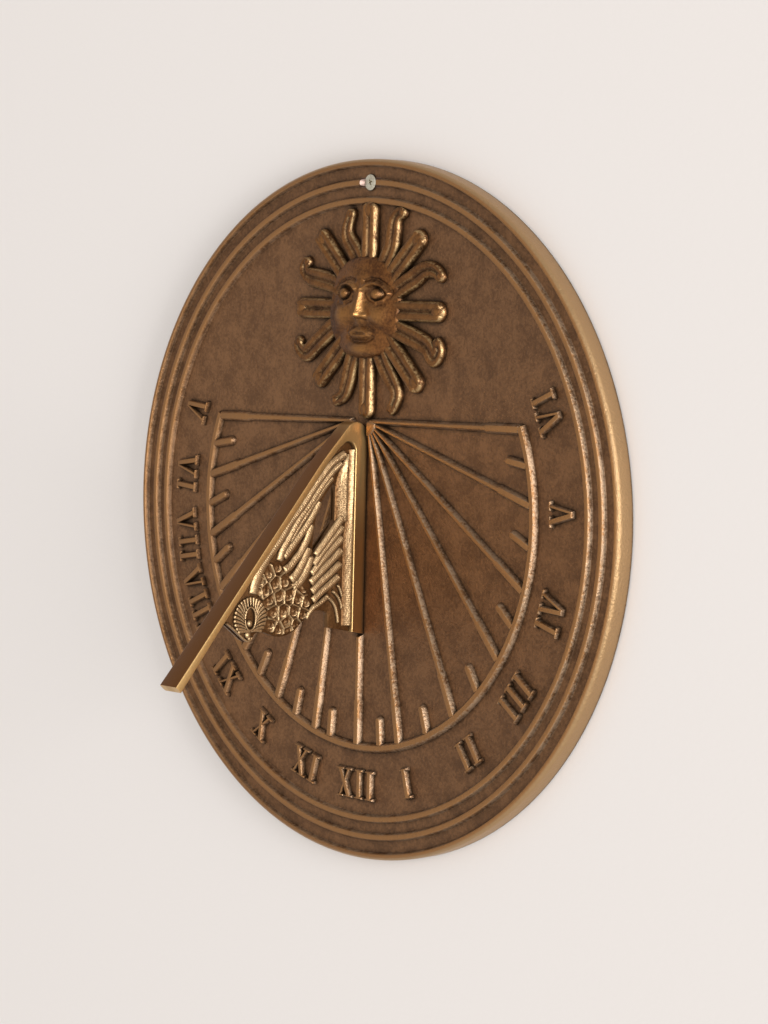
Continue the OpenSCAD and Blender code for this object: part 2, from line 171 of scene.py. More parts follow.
def draped_grid(bm: bmesh.types.BMesh, columns: int, rows: int,
                place: Callable[[float, float], Vector]) -> None:
    """Adds a grid whose points are moved one by one, then closes its border.

    Args:
        bm: Mesh to add to. All of its other shapes are closed.
        columns: Number of cells along u.
        rows: Number of cells along v.
        place: Gives a point's place from its u and v, each from 0 to 1.
    """
    made = bmesh.ops.create_grid(bm, x_segments=columns, y_segments=rows, size=0.5)["verts"]
    for vert in made:
        vert.co = place(round((vert.co.x + 0.5) * columns) / columns,
                        round((vert.co.y + 0.5) * rows) / rows)
    bmesh.ops.remove_doubles(bm, verts=made, dist=0.001)
    close_holes(bm)


def raise_outline(bm: bmesh.types.BMesh, points: Sequence[Point], top: float = TOP,
                  base: float = FIELD, draft: float = 0.45, soften: float = 0.3,
                  sink: float = 0.5) -> None:
    """Raises a flat outline with sloped walls and softened edges.

    Args:
        bm: Mesh to add to.
        points: The outline at its foot.
        top: Height of its top.
        base: Height of the face that it stands on.
        draft: How far each wall leans inwards.
        soften: Width of the rounding at the top edge.
        sink: Depth of its root in what carries it.
    """
    foot = bm.faces.new([bm.verts.new((x, y, base - sink)) for x, y in points])
    foot.normal_update()
    if foot.normal.z < 0:
        foot.normal_flip()
    grown = bmesh.ops.extrude_face_region(bm, geom=[foot])["geom"]
    cap = next(g for g in grown if isinstance(g, bmesh.types.BMFace))
    bmesh.ops.translate(bm, vec=(0, 0, sink), verts=cap.verts)
    cap.normal_update()
    bmesh.ops.inset_region(bm, faces=[cap], thickness=draft, depth=top - base, use_even_offset=True)
    if soften:
        bmesh.ops.bevel(bm, geom=list(cap.edges), offset=soften, segments=2, profile=0.5,
                        affect="EDGES", material=-1)


def raise_sweep(bm: bmesh.types.BMesh, trail: Trail, section: Section, width: Callable[[float], float],
                rise: Callable[[float], float], base: float, rows: int = 40, sink: float = 0.5,
                ripple: float = 0.0, pitch: float = 1.0, lean: float = 0.0) -> None:
    """Raises a ridge with a drawn cross-section along a trail.

    Args:
        bm: Mesh to add to.
        trail: Middle line of the ridge.
        section: Points from one edge to the other, each (offset from -1 to 1, height from 0 to 1).
        width: Whole width at a fraction of the trail.
        rise: Height above base at a fraction of the trail.
        base: Height of the face that it stands on.
        rows: Number of cells along the trail.
        sink: Depth of its root.
        ripple: Depth of the fine ribs that cross it.
        pitch: Distance between those ribs.
        lean: Ribs that each half of the ridge lags behind its middle.
    """
    full = [(section[0][0], None), *section, (section[-1][0], None)]
    columns = len(full) - 1
    run = trail.length()

    def place(u: float, v: float) -> Vector:
        """Gives a point's place from its fractions along and across.

        Args:
            u: Fraction along the trail.
            v: Fraction across the section.

        Returns:
            The point, in millimetres.
        """
        offset, height = full[round(v * columns)]
        spot = trail.at(u) + trail.left(u) * offset * width(u) / 2
        if height is None or u in (0, 1):
            return Vector((spot.x, spot.y, base - sink))
        phase = math.pi * (run * u / pitch - lean * abs(offset))
        return Vector((spot.x, spot.y, base + rise(u) * height - ripple * height * abs(math.sin(phase))))

    draped_grid(bm, rows, columns, place)


def turn_profile(bm: bmesh.types.BMesh, profile: Sequence[Point], steps: int = 64,
                 centre: Point = (0, 0)) -> None:
    """Spins a profile of (radius, height) points into a closed round shape.

    Args:
        bm: Empty mesh to fill.
        profile: Points from the axis round to the axis, or a closed loop.
        steps: Number of steps in the full turn.
        centre: Place of the axis on the drawing plane.
    """
    verts = [bm.verts.new((r, 0, h)) for r, h in profile]
    edges = [bm.edges.new(pair) for pair in zip(verts, verts[1:])]
    if min(r for r, _ in profile) > 0:
        edges.append(bm.edges.new((verts[-1], verts[0])))
    bmesh.ops.spin(bm, geom=verts + edges, cent=(0, 0, 0), axis=(0, 0, 1),
                   angle=2 * math.pi, steps=steps, use_merge=True)
    bmesh.ops.remove_doubles(bm, verts=bm.verts, dist=0.02)
    bmesh.ops.recalc_face_normals(bm, faces=bm.faces)
    bmesh.ops.translate(bm, vec=(*centre, 0), verts=bm.verts)


def stand_on_dial(bm: bmesh.types.BMesh) -> None:
    """Turns a shape drawn on the dial's plane, height up, to face out of the wall."""
    bmesh.ops.transform(bm, matrix=Matrix.Rotation(math.pi / 2, 4, "X"), verts=bm.verts)


def stand_on_panel(bm: bmesh.types.BMesh, both: bool = True) -> None:
    """Stands a shape drawn as [out, up, distance from the middle plane] on the gnomon.

    Args:
        bm: Mesh to move.
        both: Whether the other side of the panel gets a mirrored copy.
    """
    if both:
        copied = bmesh.ops.duplicate(bm, geom=bm.verts[:] + bm.edges[:] + bm.faces[:])["geom"]
        bmesh.ops.scale(bm, vec=(1, 1, -1), verts=[g for g in copied if isinstance(g, bmesh.types.BMVert)])
    for vert in bm.verts:
        out, up, aside = vert.co
        vert.co = (aside - SHIFT, -FIELD - out, up)


def finish_piece(bm: bmesh.types.BMesh, name: str, slot: Slot, material: bpy.types.Material,
                 stands_for: Sequence[str] = (), sharp: float = 42.0) -> bpy.types.Object:
    """Turns a mesh in millimetres into a finished piece that rides on the frame.

    Args:
        bm: Mesh of the piece, freed afterwards.
        name: Name of the piece.
        slot: Material slot of the record; not used.
        material: Finish of the piece.
        stands_for: CAD nodes that the piece is shown instead of.
        sharp: Angle above which an edge stays sharp, in degrees.

    Returns:
        The new object.
    """
    bmesh.ops.remove_doubles(bm, verts=bm.verts, dist=0.0008)
    bmesh.ops.dissolve_degenerate(bm, edges=bm.edges, dist=0.0004)
    bmesh.ops.recalc_face_normals(bm, faces=bm.faces)
    bmesh.ops.scale(bm, vec=(MM, MM, MM), verts=bm.verts)
    for edge in bm.edges:
        edge.smooth = edge.calc_face_angle(0) < math.radians(sharp)
    for face in bm.faces:
        face.smooth = True
    open_edges = sum(1 for e in bm.edges if not e.is_manifold)
    mesh = bpy.data.meshes.new(name)
    bm.to_mesh(mesh)
    bm.free()
    piece = bpy.data.objects.new(name, mesh)
    bpy.context.scene.collection.objects.link(piece)
    mesh.materials.append(material)
    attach(piece, "root")
    if stands_for:
        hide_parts(*stands_for)
    mesh.calc_loop_triangles()
    LOG.info("%s: %d triangles, %d open edges", name, len(mesh.loop_triangles), open_edges)
    return piece


def temporary(bm: bmesh.types.BMesh, name: str) -> bpy.types.Object:
    """Makes a tool for cutting from a mesh in millimetres, still in millimetres.

    Args:
        bm: Mesh of the tool, freed afterwards.
        name: Name of the tool.

    Returns:
        The tool.
    """
    bmesh.ops.recalc_face_normals(bm, faces=bm.faces)
    mesh = bpy.data.meshes.new(name)
    bm.to_mesh(mesh)
    bm.free()
    tool = bpy.data.objects.new(name, mesh)
    bpy.context.scene.collection.objects.link(tool)
    return tool


def combine(body: bpy.types.Object, tool: bpy.types.Object, operation: str) -> None:
    """Joins a tool to a body or cuts it out, and removes the tool.

    Args:
        body: Object that is changed.
        tool: Object that is used up.
        operation: "UNION" or "DIFFERENCE".
    """
    modifier = body.modifiers.new("combine", "BOOLEAN")
    modifier.operation = operation
    modifier.solver = "EXACT"
    modifier.object = tool
    solved = bpy.data.meshes.new_from_object(body.evaluated_get(bpy.context.evaluated_depsgraph_get()))
    body.modifiers.clear()
    body.data = solved
    bpy.data.objects.remove(tool)


def taken_back(body: bpy.types.Object) -> bmesh.types.BMesh:
    """Reads a temporary object back into a mesh for finishing, and removes the object.

    Args:
        body: Object to read.

    Returns:
        The mesh, in the object's own units.
    """
    bm = bmesh.new()
    bm.from_mesh(body.data)
    bpy.data.objects.remove(body)
    return bm


class NodeBench:
    """Places and links nodes in one tree."""

    def __init__(self, tree: bpy.types.NodeTree) -> None:
        """Starts on a tree.

        Args:
            tree: Node tree of a material, world or group.
        """
        self.tree = tree

    def add(self, kind: str, settings: dict[str, object] | None = None,
            **inputs: object) -> bpy.types.Node:
        """Adds a node, sets its properties and fills or links its inputs.

        Args:
            kind: Type name of the node.
            settings: Properties of the node.
            **inputs: Socket names, with _ for a space, or i and a number, to values or sockets.

        Returns:
            The node.
        """
        node = self.tree.nodes.new(kind)
        for key, value in (settings or {}).items():
            setattr(node, key, value)
        for key, value in inputs.items():
            socket = node.inputs[int(key[1:])] if key[0] == "i" and key[1:].isdigit() \
                else node.inputs[key.replace("_", " ")]
            if isinstance(value, bpy.types.NodeSocket):
                self.tree.links.new(value, socket)
            else:
                socket.default_value = value
        return node

    def math(self, operation: str, a: object, b: object = 0.0, clamp: bool = False) -> bpy.types.NodeSocket:
        """Adds a Math node and gives its output."""
        return self.add("ShaderNodeMath", {"operation": operation, "use_clamp": clamp}, i0=a, i1=b).outputs[0]

    def ramp(self, value: bpy.types.NodeSocket, low: object, high: object, to_low: object = 0.0,
             to_high: object = 1.0) -> bpy.types.NodeSocket:
        """Adds a smooth Map Range node from low..high to to_low..to_high and gives its output."""
        return self.add("ShaderNodeMapRange", {"interpolation_type": "SMOOTHSTEP"}, Value=value,
                        From_Min=low, From_Max=high, To_Min=to_low, To_Max=to_high).outputs[0]

    def blend(self, factor: object, a: object, b: object, mode: str = "MIX") -> bpy.types.NodeSocket:
        """Adds a colour Mix node and gives its output."""
        return self.add("ShaderNodeMix", {"data_type": "RGBA", "blend_type": mode},
                        i0=factor, i6=a, i7=b).outputs[2]

    def noise(self, where: bpy.types.NodeSocket, scale: object, detail: float = 4.0,
              rough: float = 0.6) -> bpy.types.NodeSocket:
        """Adds a Noise Texture node and gives its value."""
        return self.add("ShaderNodeTexNoise", None, Vector=where, Scale=scale, Detail=detail,
                        Roughness=rough).outputs[0]


def new_group(name: str, numbers: Sequence[str], outputs: Sequence[tuple[str, str]],
              colours: Sequence[str] = ()
              ) -> tuple[bpy.types.NodeTree, NodeBench, bpy.types.Node, bpy.types.Node]:
    """Starts a shader node group with named sockets.

    Args:
        name: Name of the group.
        numbers: Names of its number inputs.
        outputs: Names and socket types of its outputs.
        colours: Names of its colour inputs.

    Returns:
        The group, a bench on it, and its input and output nodes.
    """
    tree = bpy.data.node_groups.new(name, "ShaderNodeTree")
    for socket in numbers:
        tree.interface.new_socket(socket, in_out="INPUT", socket_type="NodeSocketFloat")
    for socket in colours:
        tree.interface.new_socket(socket, in_out="INPUT", socket_type="NodeSocketColor")
    for socket, kind in outputs:
        tree.interface.new_socket(socket, in_out="OUTPUT", socket_type=kind)
    bench = NodeBench(tree)
    return tree, bench, tree.nodes.new("NodeGroupInput"), tree.nodes.new("NodeGroupOutput")


class CastGrain:
    """Sandy grain of a casting: fine grit on slow unevenness."""

    def __init__(self) -> None:
        """Builds the group once."""
        self.tree, bench, given, out = new_group(
            "cast_grain", ["Grit Size", "Lump Size", "Lump Share"],
            [("Height", "NodeSocketFloat"), ("Mottle", "NodeSocketFloat")])
        where = bench.add("ShaderNodeTexCoord").outputs["Object"]
        grit = bench.noise(where, bench.math("DIVIDE", 1.0, given.outputs["Grit Size"]), 3.0, 0.7)
        lump = bench.noise(where, bench.math("DIVIDE", 1.0, given.outputs["Lump Size"]), 5.0, 0.62)
        share = given.outputs["Lump Share"]
        height = bench.math("ADD", bench.math("MULTIPLY", lump, share),
                            bench.math("MULTIPLY", grit, bench.math("SUBTRACT", 1.0, share)))
        mottle = bench.math("ADD", bench.math("MULTIPLY", lump, 0.5), bench.math("MULTIPLY", grit, 0.5))
        self.tree.links.new(height, out.inputs["Height"])
        self.tree.links.new(mottle, out.inputs["Mottle"])


class Rubbing:
    """Where hands and cloths have rubbed the brown off: high work, less so in grain."""

    def __init__(self) -> None:
        """Builds the group once."""
        self.tree, bench, given, out = new_group(
            "rubbing", ["Height", "Low", "High", "Mottle", "Raggedness"],
            [("Rubbed", "NodeSocketFloat")])
        spread = bench.math("MULTIPLY", bench.math("SUBTRACT", given.outputs["Mottle"], 0.5),
                            given.outputs["Raggedness"])
        level = bench.math("ADD", given.outputs["Height"], spread)
        rubbed = bench.add("ShaderNodeMapRange", {"interpolation_type": "SMOOTHSTEP"}, Value=level,
                           From_Min=given.outputs["Low"], From_Max=given.outputs["High"]).outputs[0]
        self.tree.links.new(rubbed, out.inputs["Rubbed"])


class GrimeAndShade:
    """Dark deposit and painted shade in corners and along the foot of raised work, from ambient occlusion."""

    def __init__(self) -> None:
        """Builds the group once."""
        self.tree, bench, given, out = new_group(
            "grime_and_shade", ["Reach", "Mottle"], [("Dirt And Shade", "NodeSocketFloat")])
        # Ambient occlusion paints shade into corners, grooves and the foot of raised work, together with
        # deposit.
        corner = bench.add("ShaderNodeAmbientOcclusion", {"samples": 8, "only_local": False},
                           Distance=given.outputs["Reach"]).outputs["AO"]
        dirt_and_shade = bench.ramp(bench.math("ADD", corner, bench.math("MULTIPLY", given.outputs["Mottle"], 0.5)),
                          1.22, 0.72)
        self.tree.links.new(dirt_and_shade, out.inputs["Dirt And Shade"])


class PatinaSkin:
    """Mottled brown patina, darker and duller in wide hollows from dust and painted shade."""

    def __init__(self) -> None:
        """Builds the group once."""
        self.tree, bench, given, out = new_group(
            "patina_skin", ["Mottle", "Soil", "Soil Share"], [("Colour", "NodeSocketColor")],
            ["Patina", "Mottled", "Soil Tone"])
        brown = bench.blend(bench.ramp(given.outputs["Mottle"], 0.38, 0.62), given.outputs["Patina"],
                            given.outputs["Mottled"])
        # Painted shade and dust: the wide occlusion mask pulls the patina towards a dark tone.
        soil = bench.math("MULTIPLY", given.outputs["Soil"], given.outputs["Soil Share"])
        self.tree.links.new(bench.blend(soil, brown, given.outputs["Soil Tone"]), out.inputs["Colour"])


class SideWearAndSheen:
    """Pale metal on the steep sides of raised work, partly abrasion and partly painted sheen for the window's
    highlights, with less towards the left as painted shade.
    """

    def __init__(self) -> None:
        """Builds the group once."""
        self.tree, bench, given, out = new_group(
            "side_wear_and_sheen", ["Facing", "Mottle", "Height", "Low", "Place", "Left Share", "Share"],
            [("Worn And Sheen", "NodeSocketFloat")])
        steep = bench.math("MULTIPLY", bench.ramp(given.outputs["Facing"], 0.9, 0.6),
                           bench.ramp(given.outputs["Mottle"], 0.4, 0.56))
        low = given.outputs["Low"]
        above = bench.ramp(given.outputs["Height"], bench.math("SUBTRACT", low, 0.0012), low)
        # Painted shade: the pale tone is cut back towards the left of the dial.
        share = bench.ramp(given.outputs["Place"], -0.13, 0.04, given.outputs["Left Share"],
                           given.outputs["Share"])
        worn_and_sheen = bench.math("MULTIPLY", bench.math("MULTIPLY", steep, above), share)
        self.tree.links.new(worn_and_sheen, out.inputs["Worn And Sheen"])


@dataclass(frozen=True)
class CastEffects:
    """The node groups that the cast finishes share."""

    grain: CastGrain
    rubbing: Rubbing
    grime_and_shade: GrimeAndShade
    skin: PatinaSkin
    wear_and_sheen: SideWearAndSheen


@dataclass(frozen=True)
class BrassFinish:
    """Patinated cast brass. Lengths are metres, colours are linear."""

    name: str
    patina: tuple[float, float, float]
    mottled: tuple[float, float, float]
    rubbed: tuple[float, float, float]
    # Dark tone of deposit and painted shade in corners.
    dirt_and_shade: tuple[float, float, float]
    rub_low: float
    rub_high: float
    accent: Accent = Accent.NONE
    accent_tone: tuple[float, float, float] = (0.5, 0.3, 0.15)
    rough_patina: float = 0.44
    rough_rubbed: float = 0.34
    grit: float = 0.0012
    lump: float = 0.009
    bump: float = 0.5
    bump_depth: float = 0.0005
    # Reach and share of the near occlusion darkening: deposit and painted shade.
    grime_and_shade_reach: float = 0.0022
    grime_and_shade_share: float = 0.8
    # Tone, reach and share of the wide occlusion darkening: dust and painted shade in broad hollows.
    soil: tuple[float, float, float] = (0.08, 0.05, 0.026)
    soil_and_shade_reach: float = 0.009
    soil_share: float = 0.45
    # Pale tone on steep walls, partly abrasion and partly painted sheen; its left share paints shade on the
    # dial's left.
    bare_and_sheen: tuple[float, float, float] = (0.4, 0.295, 0.2)
    bare_and_sheen_share: float = 0.65
    bare_and_sheen_left_shade: float = 0.3
    metal: float = 0.82
    coat: float = 0.15
    panel: bool = False

    def accent_mask(self, bench: NodeBench, place: bpy.types.Node,
                    normal: bpy.types.NodeSocket) -> bpy.types.NodeSocket:
        """Gives 1 where the second tone lies.

        Args:
            bench: Bench on the material's tree.
            place: Separated object coordinates.
            normal: Surface direction in object space.

        Returns:
            The mask.
        """
        if self.accent is Accent.RIM_SIDE:
            across = bench.add("ShaderNodeCombineXYZ", None, X=place.outputs["X"],
                               Z=place.outputs["Z"]).outputs[0]
            radius = bench.add("ShaderNodeVectorMath", {"operation": "LENGTH"}, i0=across).outputs["Value"]
            return bench.ramp(radius, *RIM_EDGE)
        facing = bench.add("ShaderNodeVectorMath", {"operation": "DOT_PRODUCT"}, i0=normal,
                           i1=STYLE_WAY).outputs["Value"]
        outer = bench.math("MULTIPLY", bench.ramp(facing, 0.7, 0.9),
                           bench.ramp(place.outputs["Z"], 0.047, 0.03))
        aside = bench.math("ABSOLUTE", bench.add("ShaderNodeSeparateXYZ", None, Vector=normal).outputs["X"])
        foot = bench.math("MULTIPLY", bench.ramp(aside, 0.8, 0.96),
                          bench.ramp(place.outputs["Z"], 0.036, -0.02))
        foot = bench.math("MULTIPLY", foot, bench.ramp(place.outputs["Y"], -0.0155, -0.0135, 0.0, 0.85))
        return bench.math("MAXIMUM", outer, foot)

    def make(self, effects: CastEffects) -> bpy.types.Material:
        """Builds the material.

        Args:
            effects: Groups for the casting's grain, patina, rubbing, abrasion, painted sheen and painted
                shade.

        Returns:
            The material.
        """
        material = bpy.data.materials.new(self.name)
        material.use_nodes = True
        material.node_tree.nodes.clear()
        bench = NodeBench(material.node_tree)
        tex = bench.add("ShaderNodeGroup", {"node_tree": effects.grain.tree}, Grit_Size=self.grit,
                        Lump_Size=self.lump, Lump_Share=0.4)
        mottle = tex.outputs["Mottle"]
        coords = bench.add("ShaderNodeTexCoord")
        place = bench.add("ShaderNodeSeparateXYZ", None, Vector=coords.outputs["Object"])
        if self.panel:
            height = bench.math("ABSOLUTE", bench.math("ADD", place.outputs["X"], SHIFT * MM))
        else:
            height = bench.math("MULTIPLY", place.outputs["Y"], -1.0)
        rub = bench.add("ShaderNodeGroup", {"node_tree": effects.rubbing.tree}, Height=height,
                        Low=self.rub_low, High=self.rub_high, Mottle=mottle,
                        Raggedness=0.002).outputs["Rubbed"]
        # Near occlusion: deposit and painted shade in corners and grooves.
        dirt_and_shade = bench.add("ShaderNodeGroup", {"node_tree": effects.grime_and_shade.tree}, Reach=self.grime_and_shade_reach,
                         Mottle=mottle).outputs["Dirt And Shade"]
        # Wide occlusion: dust and painted shade in broad hollows and beside tall work.
        soil = bench.add("ShaderNodeGroup", {"node_tree": effects.grime_and_shade.tree}, Reach=self.soil_and_shade_reach,
                         Mottle=mottle).outputs["Dirt And Shade"]
        brown = bench.add("ShaderNodeGroup", {"node_tree": effects.skin.tree}, Mottle=mottle, Soil=soil,
                          Soil_Share=self.soil_share, Patina=(*self.patina, 1),
                          Mottled=(*self.mottled, 1), Soil_Tone=(*self.soil, 1)).outputs["Colour"]
        skin = bench.blend(rub, brown, (*self.rubbed, 1))
        if self.bare_and_sheen_share:
            # Pale tone on steep walls: abrasion and painted sheen, cut back on the left as painted shade.
            turned = bench.add("ShaderNodeSeparateXYZ", None, Vector=coords.outputs["Normal"])
            worn_and_sheen = bench.add("ShaderNodeGroup", {"node_tree": effects.wear_and_sheen.tree},
                             Facing=bench.math("ABSOLUTE", turned.outputs["Y"]), Mottle=mottle,
                             Height=height, Low=self.rub_low, Place=place.outputs["X"],
                             Left_Share=self.bare_and_sheen_left_shade * self.bare_and_sheen_share,
                             Share=self.bare_and_sheen_share).outputs["Worn And Sheen"]
            skin = bench.blend(worn_and_sheen, skin, (*self.bare_and_sheen, 1))
        if self.accent is not Accent.NONE:
            skin = bench.blend(self.accent_mask(bench, place, coords.outputs["Normal"]), skin,
                               (*self.accent_tone, 1))
        # Painted shade and deposit: the dark tone laid where the near occlusion mask is high.
        colour = bench.blend(bench.math("MULTIPLY", dirt_and_shade, self.grime_and_shade_share), skin, (*self.dirt_and_shade, 1))
        rough = bench.math("ADD", bench.ramp(rub, 0, 1, self.rough_patina, self.rough_rubbed),
                           bench.math("MULTIPLY", dirt_and_shade, 0.15))
        bump = bench.add("ShaderNodeBump", None, Strength=self.bump, Distance=self.bump_depth,
                         Height=tex.outputs["Height"]).outputs[0]
        shader = bench.add("ShaderNodeBsdfPrincipled", None, Base_Color=colour, Metallic=self.metal,
                           Roughness=rough, Normal=bump, Coat_Weight=self.coat, Coat_Roughness=0.3)
        bench.add("ShaderNodeOutputMaterial", None, Surface=shader.outputs[0])
        return material


@dataclass(frozen=True)
class SteelFinish:
    """Plain or zinc-plated steel of a fastener."""

    name: str
    light: tuple[float, float, float]
    dull: tuple[float, float, float]
    roughness: float = 0.34
    grit: float = 0.0006

    def make(self, grain: CastGrain) -> bpy.types.Material:
        """Builds the material.

        Args:
            grain: Group for the plating's unevenness.

        Returns:
            The material.
        """
        material = bpy.data.materials.new(self.name)
        material.use_nodes = True
        material.node_tree.nodes.clear()
        bench = NodeBench(material.node_tree)
        tex = bench.add("ShaderNodeGroup", {"node_tree": grain.tree}, Grit_Size=self.grit,
                        Lump_Size=0.0022, Lump_Share=0.5)
        colour = bench.blend(bench.ramp(tex.outputs["Mottle"], 0.4, 0.62), (*self.light, 1), (*self.dull, 1))
        rough = bench.ramp(tex.outputs["Mottle"], 0.35, 0.65, self.roughness - 0.08, self.roughness + 0.12)
        bump = bench.add("ShaderNodeBump", None, Strength=0.15, Distance=0.00008,
                         Height=tex.outputs["Height"]).outputs[0]
        shader = bench.add("ShaderNodeBsdfPrincipled", None, Base_Color=colour, Metallic=0.95,
                           Roughness=rough, Normal=bump)
        bench.add("ShaderNodeOutputMaterial", None, Surface=shader.outputs[0])
        return material


class Palette:
    """All finishes of the sundial, built once."""

    def __init__(self) -> None:
        """Builds the groups and the materials."""
        effects = CastEffects(CastGrain(), Rubbing(), GrimeAndShade(), PatinaSkin(), SideWearAndSheen())
        self.plate = BrassFinish("plate_patina", (0.15, 0.07, 0.03), (0.25, 0.122, 0.053),
                                 (0.33, 0.158, 0.056), (0.036, 0.018, 0.007), 0.0074, 0.0087,
                                 Accent.RIM_SIDE, (0.38, 0.235, 0.112), rough_rubbed=0.4, bump=1.2,
                                 grime_and_shade_share=0.92, coat=0.09).make(effects)
        sun = BrassFinish("sun_patina", (0.1, 0.038, 0.011), (0.21, 0.088, 0.026),
                          (0.28, 0.122, 0.034), (0.026, 0.012, 0.004), 0.0088, 0.0122,
                          rough_patina=0.34, rough_rubbed=0.28, lump=0.006, bump=0.9, grime_and_shade_reach=0.0026,
                          bare_and_sheen=(0.56, 0.38, 0.18), bare_and_sheen_share=0.75, bare_and_sheen_left_shade=1.0, coat=0.04)
        self.sun = sun.make(effects)
        self.face = replace(sun, name="face_patina", patina=(0.085, 0.03, 0.008),
                            mottled=(0.215, 0.084, 0.022), rubbed=(0.44, 0.21, 0.062), rub_low=0.0115,
                            rub_high=0.018, lump=0.0075, bump=0.6, grime_and_shade_reach=0.0016,
                            bare_and_sheen_share=0.12).make(effects)
        self.gnomon = BrassFinish("gnomon_polish", (0.45, 0.27, 0.1), (0.52, 0.32, 0.125),
                                  (0.58, 0.37, 0.15), (0.1, 0.055, 0.028), 0.001, 0.0034,
                                  Accent.STYLE_FACE, (0.165, 0.064, 0.016), 0.38, 0.3, bump=0.14,
                                  soil_share=0.0, bare_and_sheen_share=0.0, coat=0.0,
                                  panel=True).make(effects)
        self.bird = BrassFinish("bird_patina", (0.1, 0.045, 0.014), (0.16, 0.076, 0.026),
                                (0.45, 0.3, 0.155), (0.026, 0.012, 0.004), 0.0017, 0.0026,
                                rough_patina=0.4, rough_rubbed=0.3, bump=0.7, grime_and_shade_reach=0.0014,
                                soil_share=0.0, bare_and_sheen_share=0.0, coat=0.0,
                                panel=True).make(effects)
        self.flank = BrassFinish("drilled_flank", (0.3, 0.2, 0.17), (0.26, 0.17, 0.14),
                                 (0.34, 0.24, 0.2), (0.14, 0.09, 0.07), 0.0075, 0.0092,
                                 rough_patina=0.3, bump=0.1, bare_and_sheen_share=0.0).make(effects)
        self.zinc = SteelFinish("zinc_plate", (0.78, 0.73, 0.6), (0.52, 0.47, 0.36)).make(effects.grain)
        self.steel = SteelFinish("plain_steel", (0.56, 0.56, 0.54), (0.36, 0.35, 0.33)).make(effects.grain)


@dataclass
class DialPlate:
    """The turned body of the casting: rim, rings, field and hollow back."""

    radius: float = 152.5
    rim_round: float = 2.4
    rim_width: float = 3.5
    ring2: Point = (140.5, 144.3)
    ring3: Point = (132.7, 136.5)
    draft: float = 0.85
    hollow_radius: float = 146.5
    floor: float = 2.5
    hang_z: float = 142.4
    hang_hole: float = 2.25
    hang_mouth: float = 5.1
    boss: float = 7.0
    screw_heights: tuple[float, float] = (20.0, -40.0)
    screw_head: float = 3.8
    screw_shank: float = 2.05
    head_edge: float = 0.3

    def profile(self) -> list[Point]:
        """Gives the turned profile from the axis on the face to the axis on the back.

        Returns:
            The points, each (radius, height).
        """
        d = self.draft
        corner = [(self.radius - self.rim_round * (1 - math.cos(a)), TOP - self.rim_round * (1 - math.sin(a)))
                  for a in (math.radians(90 - 15 * i) for i in range(7))]
        points = [(0, FIELD)]
        for inner, outer in (self.ring3, self.ring2):
            points += [(inner, FIELD), (inner + d, TOP), (outer - d, TOP), (outer, FIELD)]
        points += [(self.radius - self.rim_width, FIELD), (self.radius - self.rim_width + d, TOP)]
        points += corner + [(self.radius, 0), (self.hollow_radius, 0),
                            (self.hollow_radius, self.floor / 2),
                            (self.hollow_radius - self.floor / 2, self.floor), (0, self.floor)]
        return points

    def round_tool(self, profile: Sequence[Point], centre: Point, name: str) -> bpy.types.Object:
        """Makes a round tool on the dial's plane from a profile.

        Args:
            profile: Points of (radius, height).
            centre: Place of its axis.
            name: Name of the tool.

        Returns:
            The tool.
        """
        bm = bmesh.new()
        turn_profile(bm, profile, 48, centre)
        return temporary(bm, name)

    def build(self, palette: Palette) -> None:
        """Makes the body with its holes and dresses it.

        Args:
            palette: Finishes to use.
        """
        bm = bmesh.new()
        turn_profile(bm, self.profile(), 288)
        edges = [e for e in bm.edges if e.calc_face_angle(0) > math.radians(30)
                 and e.calc_length() < 2 * math.pi * self.radius / 288 * 1.05
                 and abs(e.verts[0].co.z - e.verts[1].co.z) < 0.01
                 and abs(e.verts[0].co.xy.length - e.verts[1].co.xy.length) < 0.05]
        bmesh.ops.bevel(bm, geom=edges, offset=0.45, segments=3, profile=0.5, affect="EDGES", material=-1)
        body = temporary(bm, "plate_body")
        middle = (0.0, self.hang_z)
        combine(body, self.round_tool([(0, 0), (self.boss, 0), (self.boss, FIELD - 1), (0, FIELD - 1)],
                                      middle, "hanging_boss"), "UNION")
        flare = self.hang_mouth - self.hang_hole
        combine(body, self.round_tool([(0, -1), (self.hang_hole, -1), (self.hang_hole, TOP - flare),
                                       (self.hang_mouth + 1, TOP + 1), (0, TOP + 1)],
                                      middle, "hanging_cut"), "DIFFERENCE")
        sunk = self.floor + self.head_edge
        for z in self.screw_heights:
            combine(body, self.round_tool([(0, -1), (self.screw_head, -1), (self.screw_head, sunk),
                                           (self.screw_shank, sunk + self.screw_head - self.screw_shank),
                                           (self.screw_shank, TOP), (0, TOP)],
                                          (-SHIFT, z), "screw_cut"), "DIFFERENCE")
        bm = taken_back(body)
        for face in bm.faces:
            spot = face.calc_center_median()
            away = (spot.xy - Vector(middle)).length
            if away < self.hang_mouth + 0.1 and 0.2 < face.normal.z < 0.95:
                face.material_index = 1
        stand_on_dial(bm)
        piece = finish_piece(bm, "dial_plate_casting", Slot.PLATE, palette.plate, ["dial_plate"])
        piece.data.materials.append(palette.flank)


